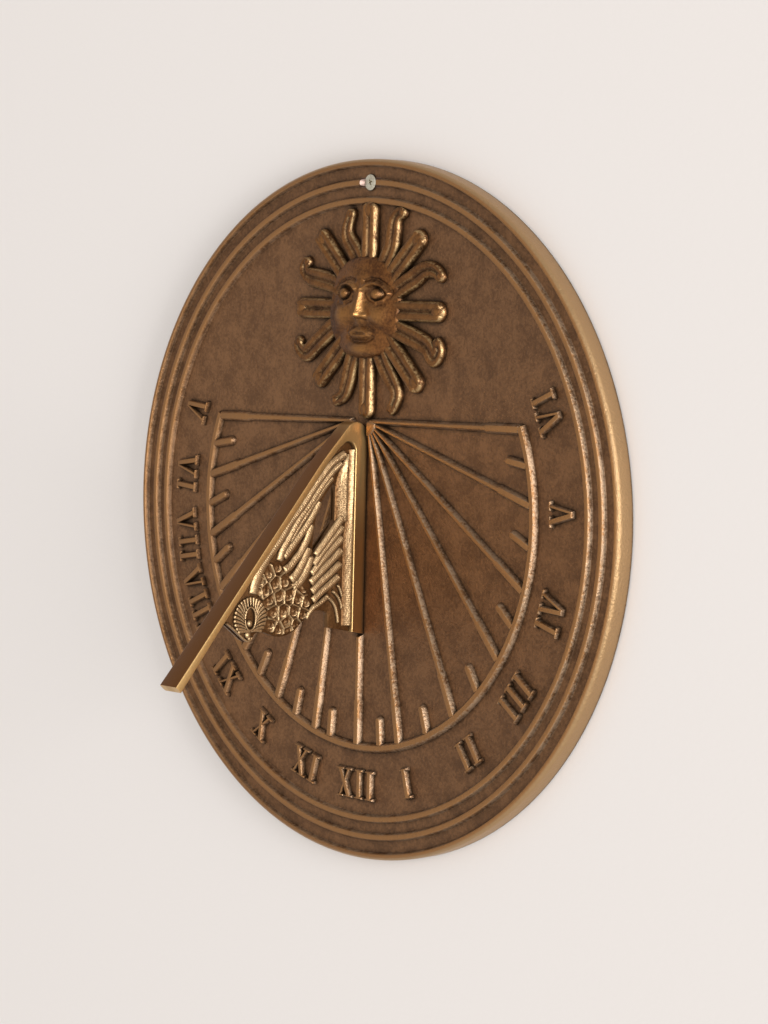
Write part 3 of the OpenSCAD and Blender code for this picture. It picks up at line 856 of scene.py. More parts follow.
@dataclass
class HourWork:
    """The fans of hour lines, the chapter arc and the half-hour ticks."""

    arc_r: float = 103.6
    arc_w: float = 2.2
    root_w: float = 0.7
    line_w: float = 1.5
    end_w: float = 2.4
    draft: float = 1.25
    end_l: float = 21.0
    tick_l: float = 12.0
    fan_z: float = 39.0
    fan_gap: float = 10.2
    noon_top: float = -54.1
    morning: tuple[float, ...] = (1.3, 17, 31, 43, 57, 70, 81.5)
    afternoon: tuple[float, ...] = (-0.7, 16.8, 34.4, 49.2, 65.2, 80.4)

    def root(self, side: Side) -> Vector:
        """Gives the point that a fan's lines leave from."""
        return Vector((side.value * self.fan_gap / 2 - SHIFT, self.fan_z))

    def heading(self, side: Side, angle: float) -> Vector:
        """Gives a line's direction from its angle below the horizontal."""
        a = math.radians(angle)
        return Vector((side.value * math.cos(a), -math.sin(a)))

    def reach(self, side: Side, angle: float, radius: float) -> float:
        """Gives the distance from a fan's root to a circle about the dial's centre.

        Args:
            side: The fan.
            angle: Angle of the line below the horizontal, in degrees.
            radius: Radius of the circle.

        Returns:
            The distance along the line.
        """
        start, way = self.root(side), self.heading(side, angle)
        b = start.dot(way)
        return math.sqrt(b * b - start.length_squared + radius * radius) - b

    def bar(self, start: Vector, way: Vector, stations: Sequence[tuple[float, float]],
            round_tip: bool = False) -> list[Point]:
        """Draws a bar with its own width at each station.

        Args:
            start: Place of distance 0.
            way: Unit direction.
            stations: (distance, width) from the inner to the outer end.
            round_tip: Whether the inner end is a half circle.

        Returns:
            The outline.
        """
        across = Vector((-way.y, way.x))
        stations = [(s, w + 2 * self.draft) for s, w in stations]
        one = [start + way * s + across * w / 2 for s, w in stations]
        other = [start + way * s - across * w / 2 for s, w in reversed(stations)]
        tip = []
        if round_tip:
            s, w = stations[0]
            tip = [start + way * (s - w / 2 * math.sin(a)) - across * w / 2 * math.cos(a)
                   for a in (math.radians(d) for d in (25, 50, 75, 105, 130, 155))]
        return [(p.x, p.y) for p in [*one, *other, *tip]]

    def hour_line(self, bm: bmesh.types.BMesh, side: Side, angle: float, top: float) -> None:
        """Raises one hour line with its thick end.

        Args:
            bm: Mesh to add to.
            side: The fan.
            angle: Angle below the horizontal, in degrees.
            top: Height of its top.
        """
        start, way = self.root(side), self.heading(side, angle)
        end = self.reach(side, angle, self.arc_r)
        step = end - self.end_l
        raise_outline(bm, self.bar(start, way, [(0, self.root_w), (step, self.line_w),
                                                (step + 0.5, self.end_w), (end, self.end_w)]), top,
                      draft=self.draft, soften=0.2)

    def ticks(self, bm: bmesh.types.BMesh, side: Side, angles: Sequence[float]) -> None:
        """Raises the half-hour ticks of one side.

        Args:
            bm: Mesh to add to.
            side: The fan.
            angles: Angles of that fan's hour lines, in degrees.
        """
        places = [*angles, 90.0]
        for i, (a, b) in enumerate(zip(places, places[1:])):
            angle = (a + b) / 2
            end = self.reach(side, angle, self.arc_r)
            raise_outline(bm, self.bar(self.root(side), self.heading(side, angle),
                                       [(end - self.tick_l, self.arc_w), (end, self.arc_w)], True),
                          TOP - 0.01 - 0.002 * i, draft=self.draft, soften=0.2)

    def fan_lump(self, bm: bmesh.types.BMesh, side: Side) -> None:
        """Raises the rounded wedge beside the gnomon that a fan leaves from.

        Args:
            bm: Mesh to add to.
            side: The fan.
        """
        start = self.root(side)
        x0 = side.value * (3.5 + 0.35) - SHIFT
        shape = ((0, -0.6), (0.6, 0.5), (2.4, 1.0), (4.6, 0.8), (6.6, 0.1), (7.4, -1.2), (6.8, -3.2),
                 (5.4, -5.2), (3.6, -6.6), (1.6, -7.2), (0.2, -6.6))
        raise_outline(bm, [(x0 + side.value * a, start.y + b) for a, b in shape], TOP + 0.5, draft=1.0,
                      soften=0.8)

    def build(self, palette: Palette) -> None:
        """Makes the hour work and dresses it.

        Args:
            palette: Finishes to use.
        """
        for side, angles, name in ((Side.MORNING, self.morning, "hour_lines_morning"),
                                   (Side.AFTERNOON, self.afternoon, "hour_lines_afternoon")):
            bm = bmesh.new()
            for i, angle in enumerate(angles):
                self.hour_line(bm, side, angle, TOP - 0.004 * i)
            self.fan_lump(bm, side)
            stand_on_dial(bm)
            finish_piece(bm, name, Slot.PLATE, palette.plate)
        bm = bmesh.new()
        raise_outline(bm, self.bar(Vector((0, self.noon_top)), Vector((0, -1)),
                                   [(0, self.line_w), (self.arc_r - self.end_l + self.noon_top, self.line_w),
                                    (self.arc_r - self.end_l + self.noon_top + 0.5, self.end_w),
                                    (self.arc_r + self.noon_top, self.end_w)]), TOP - 0.03,
                      draft=self.draft, soften=0.2)
        stand_on_dial(bm)
        finish_piece(bm, "noon_line", Slot.PLATE, palette.plate)
        bm = bmesh.new()
        self.ticks(bm, Side.MORNING, self.morning)
        self.ticks(bm, Side.AFTERNOON, self.afternoon)
        stand_on_dial(bm)
        finish_piece(bm, "half_hour_ticks", Slot.PLATE, palette.plate)
        self.build_arc(palette)

    def build_arc(self, palette: Palette) -> None:
        """Makes the chapter arc from the first morning line to the last afternoon line.

        Args:
            palette: Finishes to use.
        """
        bm = bmesh.new()
        ends = []
        for side, angle in ((Side.MORNING, self.morning[0]), (Side.AFTERNOON, self.afternoon[0])):
            spot = self.root(side) + self.heading(side, angle) * self.reach(side, angle, self.arc_r)
            ends.append(math.atan2(spot.y, spot.x) + side.value * 0.5 * self.end_w / self.arc_r)
        start, stop = ends[0], ends[1] + 2 * math.pi
        w, d = self.arc_w / 2, self.draft
        section = [(-w - d, FIELD - 0.5), (-w - d, FIELD), (-w - 0.12, TOP - 0.3), (-w + 0.15, TOP - 0.05),
                   (w - 0.15, TOP - 0.05), (w + 0.12, TOP - 0.3), (w + d, FIELD), (w + d, FIELD - 0.5)]
        verts = [bm.verts.new(((self.arc_r + r) * math.cos(start), (self.arc_r + r) * math.sin(start), h))
                 for r, h in section]
        edges = [bm.edges.new(pair) for pair in zip(verts, verts[1:] + verts[:1])]
        bmesh.ops.spin(bm, geom=verts + edges, cent=(0, 0, 0), axis=(0, 0, 1),
                       angle=stop - start, steps=180)
        close_holes(bm)
        stand_on_dial(bm)
        finish_piece(bm, "chapter_arc", Slot.PLATE, palette.plate)


@dataclass
class Numerals:
    """The raised Roman hour numerals round the chapter arc."""

    radius: float = 120.0
    height: float = 13.7
    stem: float = 3.1
    thin: float = 2.1
    serif: float = 5.4
    serif_t: float = 1.7
    draft: float = 0.6
    gap: float = 1.3
    hours: tuple[tuple[float, str], ...] = (
        (0, "XII"), (-16.1, "XI"), (-31.9, "X"), (-47.7, "IX"), (-66, "VIII"), (-80.6, "VII"),
        (-94.5, "VI"), (-109.1, "V"), (15.5, "I"), (35.4, "II"), (53.8, "III"), (73.3, "IV"),
        (93.3, "V"), (113.6, "VI"))

    def stroke(self, low: float, top: float, kind: Stroke, feet: bool = True,
               heads: bool = True) -> list[list[Point]]:
        """Draws a stroke as convex outlines: the stroke itself and its serifs.

        Args:
            low: Middle of the stroke at the foot of the line.
            top: Middle of the stroke at the head of the line.
            kind: Which stroke it is.
            feet: Whether it has a serif at the foot.
            heads: Whether it has a serif at the head.

        Returns:
            The outlines.
        """
        h, w = self.height / 2, (self.thin if kind is Stroke.THIN else self.stem) / 2
        s = self.serif / 2 if kind is not Stroke.THIN else self.serif / 2 - 0.35
        lean = (top - low) / (2 * h) * self.serif_t / 2
        out = [[(low - w, -h), (low + w, -h), (top + w, h), (top - w, h)]]
        if feet:
            out.append([(low + lean - s, -h), (low + lean + s, -h), (low + lean + s, -h + self.serif_t),
                        (low + lean - s, -h + self.serif_t)])
        if heads:
            out.append([(top - lean - s, h - self.serif_t), (top - lean + s, h - self.serif_t),
                        (top - lean + s, h), (top - lean - s, h)])
        return out

    def vee(self, x: float) -> list[list[Point]]:
        """Draws a V about x: a thick left stroke and a thin right one, joined at the foot."""
        return [*self.stroke(x - 0.3, x - 3.5, Stroke.THICK, feet=False),
                *self.stroke(x + 0.4, x + 3.5, Stroke.THIN, feet=False)]

    def ex(self, x: float) -> list[list[Point]]:
        """Draws an X about x: a thick stroke from the upper left and a thin one across it."""
        return [*self.stroke(x + 3.1, x - 3.1, Stroke.THICK), *self.stroke(x - 3.1, x + 3.1, Stroke.THIN)]

    def glyphs(self, text: str) -> list[list[Point]]:
        """Draws a whole numeral, centred.

        Args:
            text: The numeral in the letters I, V and X.

        Returns:
            The outlines of its strokes.
        """
        widths = {"I": self.serif, "V": 10.6, "X": 10.2}
        total = sum(widths[c] for c in text) + self.gap * (len(text) - 1)
        x, out = -total / 2, []
        for letter in text:
            middle = x + widths[letter] / 2
            if letter == "I":
                out += self.stroke(middle, middle, Stroke.STEM)
            else:
                out += self.vee(middle) if letter == "V" else self.ex(middle)
            x += widths[letter] + self.gap
        return out

    def build(self, palette: Palette) -> None:
        """Makes the numerals and dresses them.

        Args:
            palette: Finishes to use.
        """
        bm = bmesh.new()
        for degrees, text in self.hours:
            a = math.radians(degrees)
            right, up = Vector((math.cos(a), math.sin(a))), Vector((-math.sin(a), math.cos(a)))
            for i, outline in enumerate(self.glyphs(text)):
                places = [up * (y - self.radius) + right * x for x, y in outline]
                raise_outline(bm, [(p.x, p.y) for p in places], TOP - 0.015 * (i % 7), draft=self.draft,
                              soften=0.2)
        stand_on_dial(bm)
        finish_piece(bm, "hour_numerals", Slot.PLATE, palette.plate)


@dataclass
class Sun:
    """The relief sun: face, eight straight rays and eight wavy ones."""

    centre: Point = (1.5, 87.4)
    face_x: float = 0.2
    feature_x: float = 0.2
    radius: float = 47.5
    ray_start: float = 16.0
    ray_w: float = 9.2
    ray_h: float = 3.6
    face_w: float = 22.2
    face_up: float = 23.6
    face_down: float = 21.4
    round_ray: Section = (
        (-1, 0), (-0.98, 0.36), (-0.91, 0.66), (-0.8, 0.87), (-0.65, 0.98), (-0.48, 1.0), (-0.3, 0.93),
        (-0.15, 0.79), (-0.05, 0.66), (0, 0.63), (0.05, 0.66), (0.15, 0.79), (0.3, 0.93), (0.48, 1.0),
        (0.65, 0.98), (0.8, 0.87), (0.91, 0.66), (0.98, 0.36), (1, 0))
    wave_paths: tuple[tuple[float, tuple[Point, ...]], ...] = (
        (67.5, ((22.9, -1.7), (30, -2.3), (36, -0.9), (41.2, 0.5), (45, -0.6), (47.6, -4.4))),
        (22.5, ((22.4, 1.6), (31.4, 2.2), (38.7, 3), (44.6, 0.3), (47.5, -5.3))),
        (-22.5, ((21.8, -0.2), (32, 0.5), (40, 0.3), (45.5, -2.7), (47.3, 1.6), (43.2, 6.5))),
        (-67.5, ((24.6, 1), (33.1, 2.7), (40.5, 3.5), (47, -3.9))),
        (-112.5, ((25.1, -0.3), (35.3, 0.5), (40.7, 0.1), (46.3, -5))),
        (-157.5, ((23.3, -1.2), (34.7, 1), (44.3, 3.2), (47.9, -0.9), (46.7, -4.8))),
        (157.5, ((24.5, -1.6), (34.2, 0.3), (42.2, 1.9), (45.9, -0.6), (44.2, -4.8))),
        (112.5, ((23.6, -1.7), (35.8, 1.1), (45, -6.2))))

    def outward(self, degrees: float, path: Sequence[Point]) -> Trail:
        """Turns a path of (along, left) points about the sun's centre into a trail.

        Args:
            degrees: Direction of the path from the sun's centre.
            path: Points of (distance along, distance to the left).

        Returns:
            The trail.
        """
        a = math.radians(degrees)
        way, left = Vector((math.cos(a), math.sin(a))), Vector((-math.sin(a), math.cos(a)))
        spots = [Vector(self.centre) + way * s + left * d for s, d in path]
        return Trail(tuple((p.x, p.y) for p in spots))

    def knob(self, bm: bmesh.types.BMesh, spot: Vector, radius: float, high: float) -> None:
        """Raises the rounded end of a ray.

        Args:
            bm: Mesh to add to.
            spot: Its place.
            radius: Its radius.
            high: Its height above the field.
        """
        made = bmesh.ops.create_uvsphere(bm, u_segments=28, v_segments=14, radius=1.0)["verts"]
        bmesh.ops.scale(bm, vec=(radius, radius, high), verts=made)
        bmesh.ops.translate(bm, vec=(spot.x, spot.y, FIELD), verts=made)

    def straight_rays(self, bm: bmesh.types.BMesh) -> None:
        """Raises the eight straight rays with round tips and a groove.

        Args:
            bm: Mesh to add to.
        """
        for i in range(8):
            trail = self.outward(45 * i, [(self.ray_start, 0), (24, 0), (32, 0), (40, 0), (self.radius, 0)])
            tip = self.ray_w / 2 / (self.radius - self.ray_start)

            def width(u: float) -> float:
                """Gives the width, round at the tip."""
                left = max(0.0, (1 - u) / tip)
                return self.ray_w * (math.sqrt(max(0.0, 1 - (1 - left) ** 2)) if left < 1 else 1)

            def rise(u: float) -> float:
                """Gives the height, which drops over the tip."""
                return self.ray_h * smooth(0.25 + (1 - u) / tip / 0.9)

            raise_sweep(bm, trail, self.round_ray, lambda u: max(width(u), 0.3), rise, FIELD, rows=56)
            self.knob(bm, trail.at(1 - tip), self.ray_w * 0.49, self.ray_h * 1.03)

    def wavy_rays(self, bm: bmesh.types.BMesh) -> None:
        """Raises the eight wavy rays that hook over at their tips.

        Args:
            bm: Mesh to add to.
        """
        for degrees, path in self.wave_paths:
            trail = self.outward(degrees, [(self.ray_start, path[0][1] * 0.4), *path])

            def width(u: float) -> float:
                """Gives the width, which narrows to the hooked tip."""
                body = lerp(9.0, 5.6, smooth((u - 0.4) / 0.6))
                return body * math.sqrt(max(0.02, 1 - max(0.0, 1 - (1 - u) * 11) ** 2))

            def rise(u: float) -> float:
                """Gives the height, which drops over the tip."""
                return self.ray_h * (1 - 0.25 * u) * smooth(0.3 + (1 - u) * 16)

            raise_sweep(bm, trail, self.round_ray, width, rise, FIELD, rows=72)
            self.knob(bm, trail.at(0.925), width(0.9) * 0.47, self.ray_h * 0.84)

    def face_height(self, x: float, z: float) -> float:
        """Gives the height of the face's skin above the field.

        Args:
            x: Distance to the right of the face's middle.
            z: Distance above the face's middle.

        Returns:
            The height in millimetres.
        """
        edge = math.hypot(x / self.face_w, z / (self.face_up if z > 0 else self.face_down))
        h = 3.7 + 3.8 * (1 - min(1.0, edge) ** 2)
        x -= self.feature_x
        ax = abs(x)

        def hill(cx: float, cz: float, rx: float, rz: float, power: float = 2.0) -> float:
            """Gives a smooth hill of height 1, mirrored about the face's middle."""
            return math.exp(-(math.hypot((ax - cx) / rx, (z - cz) / rz) ** power))

        def line(points: Sequence[Point], r: float, across: float = ax) -> float:
            """Gives a ridge of height 1 along a line of points, mirrored about the middle.

            Args:
                points: The line's points, on the right half.
                r: Half width of the ridge.
                across: Distance from the middle to measure with.

            Returns:
                The height, from 0 to 1.
            """
            spot, best = Vector((across, z)), 99.0
            for a, b in zip(points, points[1:]):
                p, d = Vector(a), Vector(b) - Vector(a)
                t = max(0.0, min(1.0, (spot - p).dot(d) / d.length_squared))
                best = min(best, (spot - p - d * t).length)
            return math.exp(-((best / r) ** 2)) if best < 3 * r else 0.0

        # forehead, temples, brow, socket, lids and ball of the eye
        h += 0.7 * hill(0, 17.5, 10, 5, 3)
        h -= 1.0 * hill(18.5, 5, 3.6, 6)
        h -= 1.6 * hill(10.0, 6.9, 6.6, 4.0, 2.6)
        h -= 0.9 * line(((3.2, 12.6), (6.4, 13.5), (10.5, 13.1), (14, 11.3), (17.4, 8.2)), 0.85)
        h += 1.5 * line(((2.6, 9.0), (4.8, 10.6), (8.4, 11.4), (12.4, 10.6), (16.2, 7.6)), 1.0)
        h += 0.7 * line(((4.6, 6.8), (6.6, 4.5), (10.0, 3.5), (13.4, 4.3), (16, 6.8)), 0.6)
        h -= 0.5 * line(((4.8, 4.0), (10.0, 1.8), (14.2, 2.8)), 0.8)
        ball = 1 - ((ax - 10.2) / 2.9) ** 2 - ((z - 7.0) / 2.5) ** 2
        h += 3.2 * max(0.0, ball) ** 0.5
        # nose with its tip and wings
        nx = abs(x - 1.7)
        bridge = smooth((z + 4.3) / 1.8) * smooth((12.5 - z) / 6.0)
        ridge_w = lerp(1.7, 1.0, smooth((z + 3) / 8))
        h += lerp(3.0, 1.8, smooth((z + 2) / 10)) * bridge * math.exp(-((nx / ridge_w) ** 1.8))
        h += 1.2 * math.exp(-((nx / 1.8) ** 2 + ((z + 2.1) / 1.4) ** 2))
        h += 1.6 * math.exp(-(math.hypot((nx - 2.8) / 1.3, (z + 2.7) / 1.2) ** 2.6))
        # cheeks, the fall below them, and the lips
        mx = abs(x - 0.6)
        h += 1.6 * hill(12.2, -2.2, 5.4, 4.4, 2.4)
        h -= 0.9 * line(((3.8, -5.0), (7.8, -6.8), (12.6, -9.8), (15.8, -12.6)), 2.3, mx)
        h += 0.2 * math.exp(-(math.hypot(mx / 7.0, (z + 10.4) / 4.2) ** 3))
        h += 0.75 * line(((0, -9.1), (1.8, -8.8), (3.6, -9.3), (5.8, -10.1)), 0.9, mx)
        h += 0.9 * line(((0, -11.3), (2.8, -11.2), (4.8, -10.8)), 0.95, mx)
        h -= 0.3 * line(((0, -10.2), (2.6, -10.2), (6.4, -10.6)), 0.4, mx)
        h -= 0.9 * line(((0, -13.8), (4.0, -13.5), (7.4, -11.8)), 0.9, mx)
        h -= 0.6 * line(((0, -6.6), (4.2, -7.0), (7.6, -9.0)), 0.8, mx)
        return h + 3.0 * math.exp(-(math.hypot(mx / 9.4, (z + 17.4) / 3.0) ** 2.6))

    def face_outline(self, angle: float) -> float:
        """Gives the face's radius towards an angle: tapered forehead, full cheeks, square jaw.

        Args:
            angle: Direction from the face's middle, in radians.

        Returns:
            The radius in millimetres.
        """
        c, s = abs(math.cos(angle)), math.sin(angle)
        high, power = (self.face_up, 2.3) if s > 0 else (self.face_down, 2.35)
        return ((c / self.face_w) ** power + (abs(s) / high) ** power) ** (-1 / power)

    def build_face(self, palette: Palette) -> None:
        """Makes the sculpted face as one draped grid.

        Args:
            palette: Finishes to use.
        """
        bm = bmesh.new()
        cells = 176

        def place(u: float, v: float) -> Vector:
            """Gives a point's place: a square bent to the face's outline, its rim sunk.

            Args:
                u: Fraction across the face.
                v: Fraction up the face.

            Returns:
                The point, in millimetres.
            """
            a, b = 2 * u - 1, 2 * v - 1
            dx, dz = a * math.sqrt(1 - b * b / 2), b * math.sqrt(1 - a * a / 2)
            rho, angle = math.hypot(dx, dz), math.atan2(dz, dx)
            if rho > 1 - 1.5 / cells:
                r = self.face_outline(angle)
                return Vector((r * math.cos(angle), r * math.sin(angle), FIELD - 0.6))
            r = self.face_outline(angle) * rho / (1 - 2.0 / cells) if rho < 1 - 2.0 / cells \
                else self.face_outline(angle)
            x, z = r * math.cos(angle), r * math.sin(angle)
            wall = math.sqrt(max(0.0, 1 - max(0.0, 1 - (1 - rho) * 13) ** 2))
            return Vector((x, z, FIELD - 0.3 + self.face_height(x, z) * wall))

        draped_grid(bm, cells, cells, place)
        bmesh.ops.translate(bm, vec=(self.face_x, self.centre[1], 0), verts=bm.verts)
        stand_on_dial(bm)
        finish_piece(bm, "sun_face", Slot.PLATE, palette.face, sharp=70)

    def build(self, palette: Palette) -> None:
        """Makes the sun and dresses it.

        Args:
            palette: Finishes to use.
        """
        for maker, name in ((self.straight_rays, "sun_rays_straight"), (self.wavy_rays, "sun_rays_wavy")):
            bm = bmesh.new()
            maker(bm)
            stand_on_dial(bm)
            finish_piece(bm, name, Slot.PLATE, palette.sun, sharp=60)
        self.build_face(palette)


@dataclass
class GnomonFrame:
    """The bent bar of the gnomon: foot, apex and style."""

    style_angle: float = 41.1
    root_z: float = 52.4
    reach: float = 106.5
    style_t: float = 3.1
    tip_w: float = 10.9
    foot_w: float = 7.0
    foot_t: float = 6.8
    apex_r: float = 6.64
    apex_inner_r: float = 4.2
    foot_end: float = 53.8
    foot_slope: float = 0.18
    edge_round: float = 0.55
    tip_gain: float = 0.8
    bend: float = 1.6
    taper_start: float = 14.0
    bend_run: float = 30.0

    def style_point(self, s: float, t: float) -> Vector:
        """Gives a point on the style, s along it and t inwards from its outer face.

        Args:
            s: Distance along the style.
            t: Distance inwards from its outer face.

        Returns:
            The point as (out, up).
        """
        a = math.radians(self.style_angle)
        along = Vector((math.sin(a), -math.cos(a)))
        outward = Vector((math.cos(a), math.sin(a)))
        inward = t + self.bend * (1 - smooth((s - self.taper_start) / self.bend_run))
        return Vector((0, self.root_z)) + along * s - outward * inward

    def edges(self) -> list[tuple[Vector, Vector, float]]:
        """Gives (outer point, inner point, width) from the foot's end round to the style's tip.

        Returns:
            One row for each station along the bar.
        """
        a = math.radians(self.style_angle)
        half = 1 / math.tan(a / 2)
        inner_root = self.root_z - self.style_t / math.sin(a) - self.foot_t / math.tan(a)
        outer_c = Vector((self.apex_r, self.root_z - self.bend / math.sin(a) - self.apex_r * half))
        inner_c = Vector((self.foot_t + self.apex_inner_r,
                          inner_root - self.bend / math.sin(a) - self.apex_inner_r * half))
        low_in = -self.foot_end + self.foot_slope * self.foot_t
        out: list[tuple[Vector, Vector, float]] = []
        for i in range(31):
            t = i / 30
            out.append((Vector((0, lerp(-self.foot_end, outer_c.y, t))),
                        Vector((self.foot_t, lerp(low_in, inner_c.y, t))), self.foot_w))
        for i in range(1, 21):
            b = math.radians(lerp(180, self.style_angle, i / 20))
            ray = Vector((math.cos(b), math.sin(b)))
            out.append((outer_c + ray * self.apex_r, inner_c + ray * self.apex_inner_r, self.foot_w))
        tip_s = self.reach / math.sin(a)
        start = (out[-1][0] - self.style_point(0, 0)).length
        start_in = (out[-1][1] - self.style_point(0, self.style_t)).length
        for i in range(1, 61):
            s = lerp(start, tip_s, i / 60)
            s_in = lerp(start_in, tip_s, i / 60)
            taper = (s - self.taper_start) / (tip_s + self.style_t - self.taper_start)
            w = lerp(self.foot_w, self.tip_w, max(0.0, taper))
            thick = self.style_t + self.tip_gain * smooth((s - 0.72 * tip_s) / (0.28 * tip_s))
            out.append((self.style_point(s, 0), self.style_point(s_in, thick), w))
        return out

    def build(self, palette: Palette) -> None:
        """Makes the frame as one closed sweep and dresses it.

        Args:
            palette: Finishes to use.
        """
        stations = self.edges()
        rows = len(stations) - 1
        corner = [(1 - math.cos(a), 1 - math.sin(a))
                  for a in (math.radians(d) for d in (0, 22.5, 45, 67.5, 90))]
        columns = 4 * len(corner)
        bm = bmesh.new()

        def place(u: float, v: float) -> Vector:
            """Gives a point on the bar.

            Args:
                u: Fraction along the bar.
                v: Fraction round its section.

            Returns:
                The point, in millimetres.
            """
            outer, inner, width = stations[round(u * rows)]
            thick = (outer - inner).length
            k = round(v * columns) % columns
            quarter, step = divmod(k, len(corner))
            r = self.edge_round
            a, b = corner[len(corner) - 1 - step if quarter % 2 else step]
            sx = 1 if quarter in (0, 3) else -1
            sy = 1 if quarter in (0, 1) else -1
            aside = sx * (width / 2 - a * r)
            depth = thick / 2 - b * r
            middle = (outer + inner) / 2
            way = (outer - inner).normalized()
            spot = middle + way * depth * sy
            return Vector((spot.x, spot.y, aside))

        draped_grid(bm, rows, columns, place)
        stand_on_panel(bm, both=False)
        finish_piece(bm, "gnomon_frame", Slot.GNOMON, palette.gnomon, ["gnomon"], sharp=50)


@dataclass(frozen=True)
class Quill:
    """One feather: its middle line and its widths at the root and before the tip."""

    path: tuple[Point, ...]
    root_w: float
    tip_w: float


